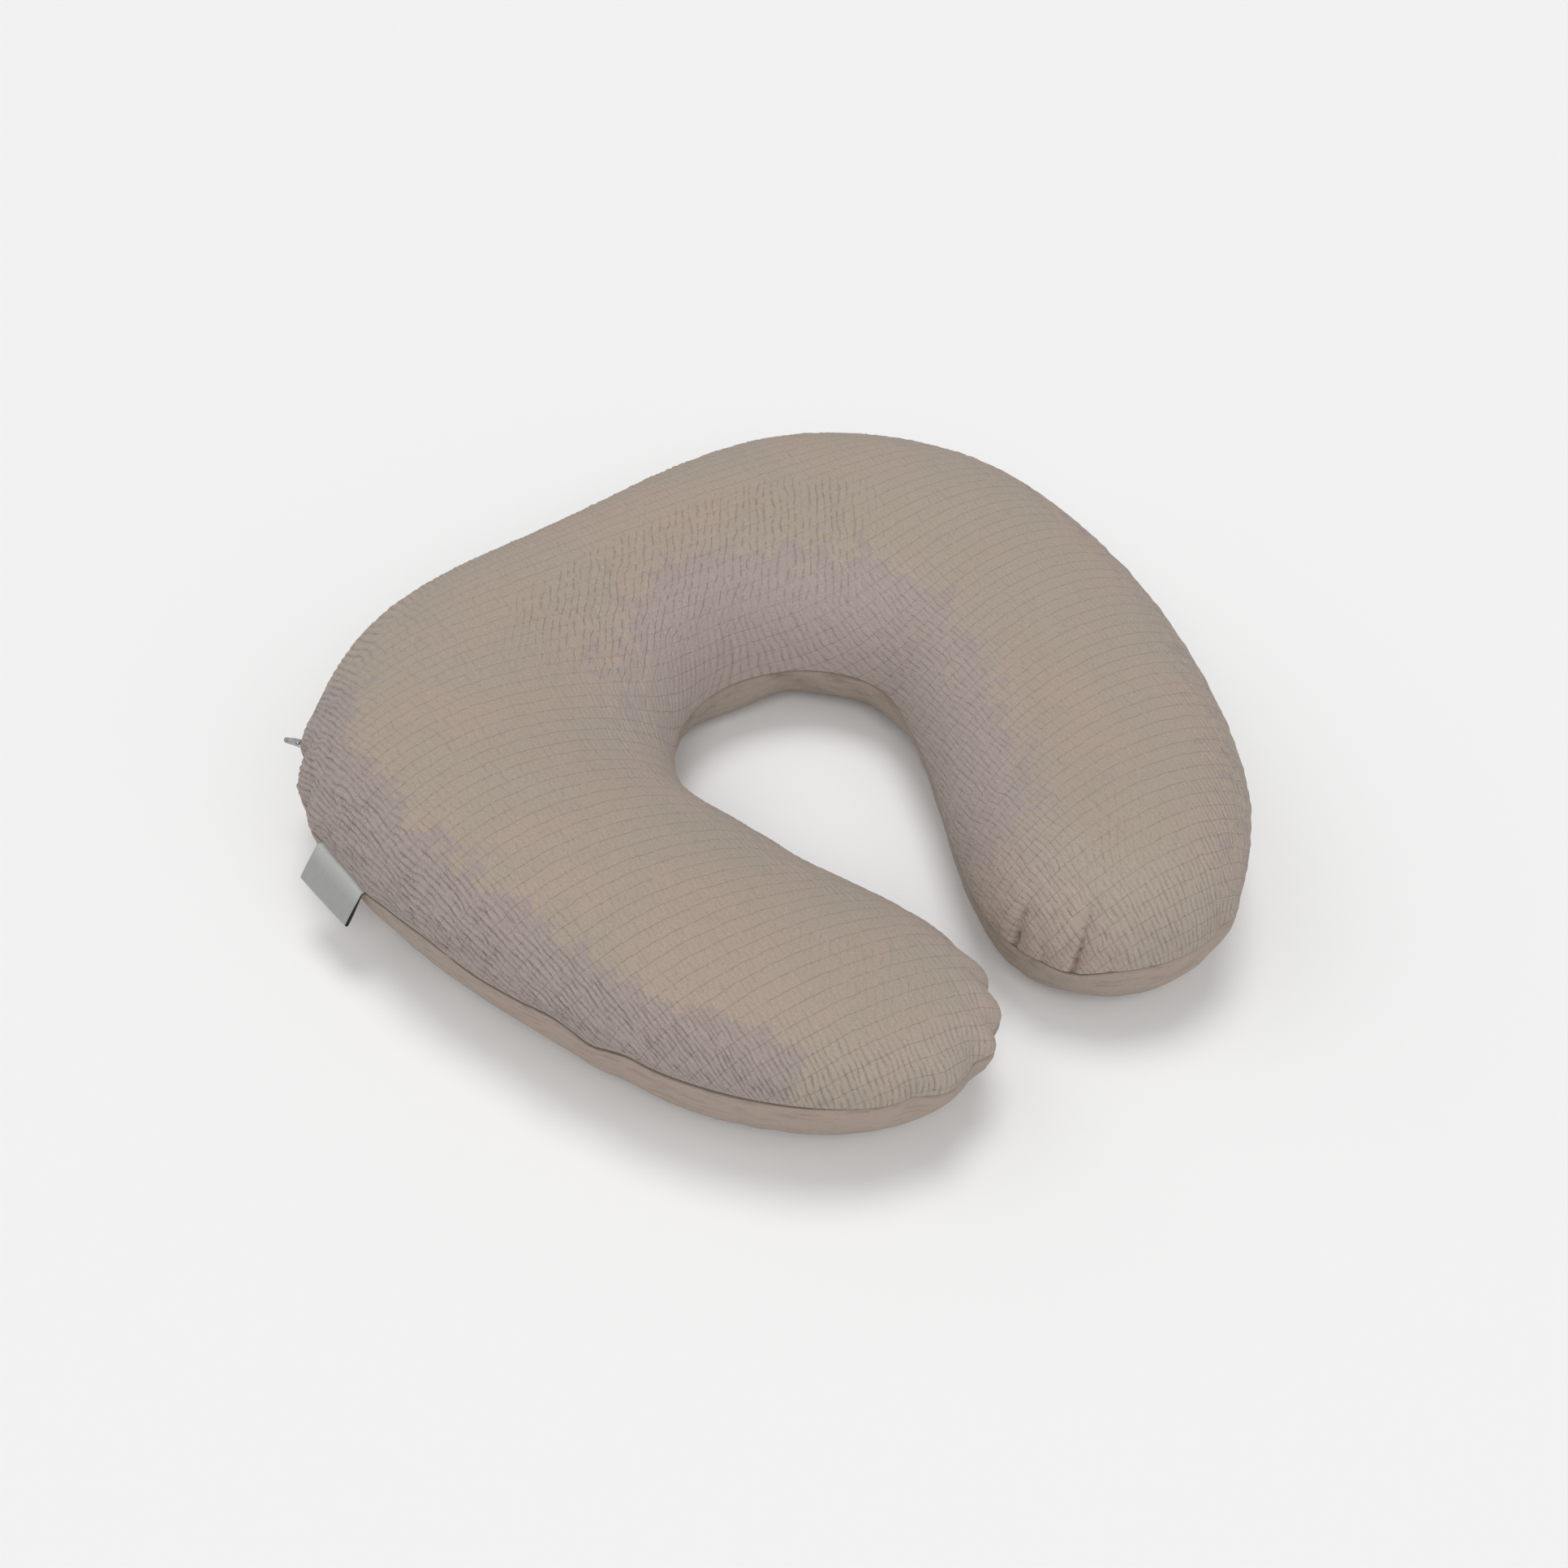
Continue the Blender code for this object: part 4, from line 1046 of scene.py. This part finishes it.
def crinkle_cloth():
    """Puckered cotton with wrinkles, drawn threads and tone patches, and painted shade, light and
    crest highlight.
    """
    n = Nodes("crinkle_cloth")
    grain = n.attribute("grain", "Vector")
    flank = n.attribute("flank")
    u, v, _ = n.split(grain)
    ridges, uprights, upright = n.split(n.attribute("ridge", "Vector"))

    # Drawn threads across the ridges, broken here and there.
    drift = n.noise(grain, (0.07, 0.035, 0), 3.0)
    phase = n.math("FRACT", n.math("DIVIDE", n.heap(v, (drift, 3.2)), LINE_PITCH))
    from_line = n.math("ABSOLUTE", n.math("SUBTRACT", phase, 0.5))
    line = n.times(n.ramp(from_line, 0.0, 0.055, 1.0, 0.0),
                   n.ramp(n.noise(grain, (0.20, 0.12, 0)), 0.28, 0.46),
                   n.math("MULTIPLY_ADD", upright, -0.45, 1.0))

    def valleys(count, patches_a_ridge, patches_along, lengths):
        """Narrow valleys between ridges, in short lengths."""
        place = n.add("ShaderNodeCombineXYZ", {"X": n.times(count, patches_a_ridge),
                                               "Y": n.times(v, patches_along)})
        return n.times(n.ramp(n.math("PINGPONG", count, 0.5), 0.0, 0.17, 1.0, 0.0),
                       n.ramp(n.noise(place.outputs["Vector"], 1.0), *lengths))

    valley = n.times(valleys(ridges, 0.8, 0.11, (0.40, 0.56)),
                     n.math("MULTIPLY_ADD", flank, 0.78, 0.22), n.math("SUBTRACT", 1.0, upright))
    crease = n.times(valleys(uprights, 0.9, 0.19, (0.38, 0.56)), upright)
    crest = n.times(n.ramp(n.math("PINGPONG", ridges, 0.5), 0.22, 0.42), flank)

    wrinkle = n.noise(grain, (0.62, 0.17, 0), 4.0, 0.62)
    pucker = n.noise(grain, (0.95, 0.62, 0), 3.0, 0.6)
    weave = n.times(n.threads(u, 0.62), n.threads(v, 0.70))
    height = n.heap(n.times(wrinkle, n.math("MULTIPLY_ADD", flank, 0.45, 0.25)),
                    (pucker, 0.70), (weave, 0.03), (line, -0.14), (valley, -0.32), (crease, -0.50))

    place = n.place()
    patch = n.noise(place, 12.0, 3.0, 0.6)
    # The mauve painted shade, its edge broken by noise.
    edge_wander = n.noise(n.stretched(place, (1.0, 1.3, 1.0)), 56.0, 3.0, 0.6)
    shaded = n.math("ADD", n.attribute("shaded"), n.math("MULTIPLY_ADD", edge_wander, 2.2, -1.1))
    fibre = n.noise(grain, (0.75, 0.6, 0), 4.0, 0.8)
    colour = n.blend(
        srgb(164, 152, 138),
        (n.ramp(patch, 0.44, 0.58), (169, 152, 139)),
        # Painted shade: a darker mauve tint on the slopes turned away from the lamps.
        (n.times(n.ramp(shaded, 0.38, 0.56), 0.8), (156, 143, 140)),
        # Painted light: a paler tone on the hollow's slopes.
        (n.times(n.attribute("hollow_painted_light"), 0.30), (196, 181, 174)),
        (n.times(line, 0.41), (108, 98, 89)),
        # Painted shade in the ridges' valleys and the upright creases.
        (n.times(valley, 0.38), (106, 95, 89)),
        (n.times(crease, 0.22), (104, 94, 86)),
        # Painted highlight on the ridges' crests.
        (n.times(crest, 0.20), (192, 178, 170)),
        # Painted shade in the deep creases.
        (n.ramp(n.attribute("crease_shade"), 0.12, 0.9, 0.0, 0.5), (84, 74, 68)),
        # Painted shade where the relief is low.
        (n.ramp(n.attribute("relief"), -1.3, 0.3, 0.18, 0.0), (116, 105, 97)),
        (n.ramp(fibre, 0.48, 0.78, 0.0, 0.50), (198, 186, 172)),
        (n.ramp(fibre, 0.22, 0.48, 0.40, 0.0), (112, 101, 93)),
        # Painted shade along the seam's groove.
        (n.ramp(n.attribute("seam_groove_shade"), 0.3, 1.0, 0.7, 0.0), (70, 60, 54)))
    return n.finish(height, MM, 0.9, Base_Color=colour, Roughness=0.93, Sheen_Weight=0.1,
                    Sheen_Roughness=0.6, Specular_IOR_Level=0.25)


def plain_jersey():
    """Fine knitted cotton of the lower panel, with soft folds along the seam; painted shade in their
    valleys, creases and the seam's groove.
    """
    n = Nodes("plain_jersey")
    edge = n.attribute("edge", "Vector")
    place = n.place()
    x, y, _ = n.split(place)
    drawn = n.noise(edge, (0.055, 0.055, 0.42), 3.0, 0.6)
    gathers = n.noise(edge, (0.35, 0.35, 0.06))
    height = n.heap(n.times(n.threads(y, 0.7 * MM), 0.015),
                    (n.threads(x, 0.9 * MM), 0.015), (gathers, 0.9), (drawn, 1.8))
    patch = n.noise(place, 11.0, 3.0, 0.6)
    fibre = n.noise(place, 1500.0, 2.0, 0.6)
    colour = n.blend(
        srgb(165, 148, 136),
        (n.ramp(patch, 0.40, 0.60), (160, 147, 135)),
        # Painted shade in the valleys of the soft folds, along the seam's groove and in the creases.
        (n.ramp(drawn, 0.34, 0.50, 0.32, 0.0), (112, 100, 92)),
        (n.ramp(n.attribute("seam_groove_shade"), 0.7, 1.6, 0.65, 0.0), (70, 60, 54)),
        (n.ramp(n.attribute("crease_shade"), 0.1, 0.8, 0.0, 0.35), (92, 80, 74)),
        (n.ramp(fibre, 0.3, 0.8, 0.0, 0.14), (196, 184, 170)))
    return n.finish(height, MM, 0.85, Base_Color=colour, Roughness=0.94, Sheen_Weight=0.08,
                    Sheen_Roughness=0.6, Specular_IOR_Level=0.25)


def label_satin():
    """Grey satin ribbon: fine threads down its length, a firm woven edge on both sides, and a painted
    highlight near the seam.
    """
    n = Nodes("label_satin")
    ribbon = n.attribute("ribbon", "Vector")
    across, down, from_edge = n.split(ribbon)
    uneven = n.noise(ribbon, (1.6, 0.10, 0), 3.0, 0.6)
    selvedge = n.ramp(from_edge, 0.0, 1.1, 1.0, 0.0)
    height = n.heap(n.times(n.threads(down, 0.5), 0.006),
                    (n.threads(across, 0.35), 0.010), (uneven, 0.06), (selvedge, 0.05))
    # Painted highlight: the ribbon is lighter near the seam, where it faces up.
    from_seam = n.math("PINGPONG", down, 29.5)
    colour = n.blend(
        srgb(148, 149, 146),
        (n.ramp(uneven, 0.3, 0.7), (156, 157, 154)),
        (n.ramp(from_seam, 2.0, 16.0, 0.7, 0.0), (188, 190, 186)),
        (n.times(selvedge, 0.25), (140, 141, 138)))
    return n.finish(height, MM, 0.8, Base_Color=colour, Roughness=0.42, Sheen_Weight=0.15,
                    Sheen_Roughness=0.4, Specular_IOR_Level=0.5, Anisotropic=0.4)


def label_gap_shade():
    """Painted shade: the ribbon's inner side made nearly black, seen only between its two layers,
    where the gap is in shade.
    """
    n = Nodes("label_gap_shade")
    uneven = n.noise(n.attribute("ribbon", "Vector"), (1.6, 0.4, 0), 3.0, 0.6)
    colour = n.blend(srgb(38, 40, 38), (uneven, (52, 54, 51)))
    return n.finish(uneven, 0.1 * MM, 0.5, Base_Color=colour, Roughness=0.7)


def zip_nylon():
    """Beige nylon of the zip's coil and tape."""
    n = Nodes("zip_nylon")
    grains = n.noise(n.place(), 900.0)
    colour = n.blend(srgb(150, 138, 126), (n.ramp(grains, 0.35, 0.65), (160, 148, 135)))
    return n.finish(grains, 0.1 * MM, 0.5, Base_Color=colour, Roughness=0.5,
                    Specular_IOR_Level=0.45)


def satin_metal():
    """Grey plated metal of the slider and pull, brushed, with wear on its faces."""
    n = Nodes("satin_metal")
    place = n.place()
    brush = n.noise(n.stretched(place, (1.0, 1.0, 9.0)), 420.0, 3.0, 0.6)
    wear = n.noise(place, 210.0, 3.0, 0.6)
    colour = n.blend(srgb(158, 161, 162), (n.ramp(wear, 0.35, 0.65), (186, 189, 190)))
    rough = n.ramp(brush, 0.3, 0.7, 0.30, 0.48)
    return n.finish(brush, 0.03 * MM, 0.5, Base_Color=colour, Roughness=rough, Metallic=0.85)


# ---------------- surroundings
CAMERA_AZIMUTH = -30.53
CAMERA_ELEVATION = 43.74
CAMERA_DISTANCE = 1444.97
CAMERA_AIM = (-15.0, -59.5, 56.4)
CAMERA_LENS, CAMERA_SENSOR = 50, 36
FLOOR_HALF = 12.0  # metres, as the next two are
FLOOR_DROP = 0.0003
CLIP_END = 30
FLOOR_WHITE = 0.86
WORLD_STRENGTH = 0.25
# Soft lamps: name, azimuth, elevation, spread in degrees, power.
LAMPS = (
    ("overhead", 149.5, 75.0, 28.0, 1.13),
    ("front", CAMERA_AZIMUTH, 43.7, 34.0, 1.02),
    ("front_right", 15.0, 40.0, 46.0, 0.48),
    ("left", -112.0, 45.0, 50.0, 0.34),
    ("back_left", -155.0, 38.0, 46.0, 0.20),
)


def aimed(name, data, azimuth, elevation):
    """Adds a camera or lamp that looks at the pillow; returns it and the way back to it."""
    turn, rise = math.radians(azimuth), math.radians(elevation)
    back = Vector((math.sin(turn) * math.cos(rise), -math.cos(turn) * math.cos(rise),
                   math.sin(rise)))
    item = add_object(name, data)
    item.rotation_euler = back.to_track_quat("Z", "Y").to_euler()
    return item, back


def add_camera(shift):
    data = bpy.data.cameras.new("camera")
    data.lens = CAMERA_LENS
    data.sensor_width = CAMERA_SENSOR
    data.clip_end = CLIP_END
    camera, back = aimed("camera", data, CAMERA_AZIMUTH, CAMERA_ELEVATION)
    camera.location = (Vector(CAMERA_AIM) + shift) * MM + back * CAMERA_DISTANCE * MM
    bpy.context.scene.camera = camera


def add_surroundings():
    """A pale floor, an even world and soft lamps that light floor and pillow evenly."""
    paint = Nodes("floor_paint").finish(Base_Color=(FLOOR_WHITE, FLOOR_WHITE, FLOOR_WHITE, 1.0),
                                        Roughness=0.9, Specular_IOR_Level=0.1)
    mesh = bpy.data.meshes.new("floor")
    corners = ((-1, -1), (1, -1), (1, 1), (-1, 1))
    mesh.from_pydata([(x * FLOOR_HALF, y * FLOOR_HALF, 0) for x, y in corners], [],
                     [(0, 1, 2, 3)])
    mesh.materials.append(paint)
    floor = add_object("floor", mesh)
    floor.location.z = -FLOOR_DROP
    world = bpy.data.worlds.new("studio")
    world.use_nodes = True
    background = world.node_tree.nodes["Background"]
    background.inputs["Color"].default_value = (1.0, 1.0, 1.0, 1.0)
    background.inputs["Strength"].default_value = WORLD_STRENGTH
    bpy.context.scene.world = world
    for name, azimuth, elevation, spread, power in LAMPS:
        data = bpy.data.lights.new(name, "SUN")
        data.angle = math.radians(spread)
        data.energy = power
        aimed(name, data, azimuth, elevation)
    bpy.context.scene.view_settings.view_transform = "Standard"


# ---------------- the scene
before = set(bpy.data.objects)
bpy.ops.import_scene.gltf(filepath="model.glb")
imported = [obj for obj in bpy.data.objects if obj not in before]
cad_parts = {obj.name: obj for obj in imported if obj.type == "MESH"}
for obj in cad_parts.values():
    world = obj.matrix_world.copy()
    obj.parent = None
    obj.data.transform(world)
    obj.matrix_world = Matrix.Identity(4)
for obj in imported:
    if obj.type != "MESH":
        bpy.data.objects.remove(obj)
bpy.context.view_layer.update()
ring, shift = make_cover([crinkle_cloth(), plain_jersey()])
make_label(ring, shift, [label_gap_shade(), label_satin()])
make_zip_chain(ring, shift, [zip_nylon()])
metal = satin_metal()
for name in ("zip_slider", "zip_pull"):
    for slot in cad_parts[name].material_slots:
        slot.material = metal
add_surroundings()
add_camera(shift)
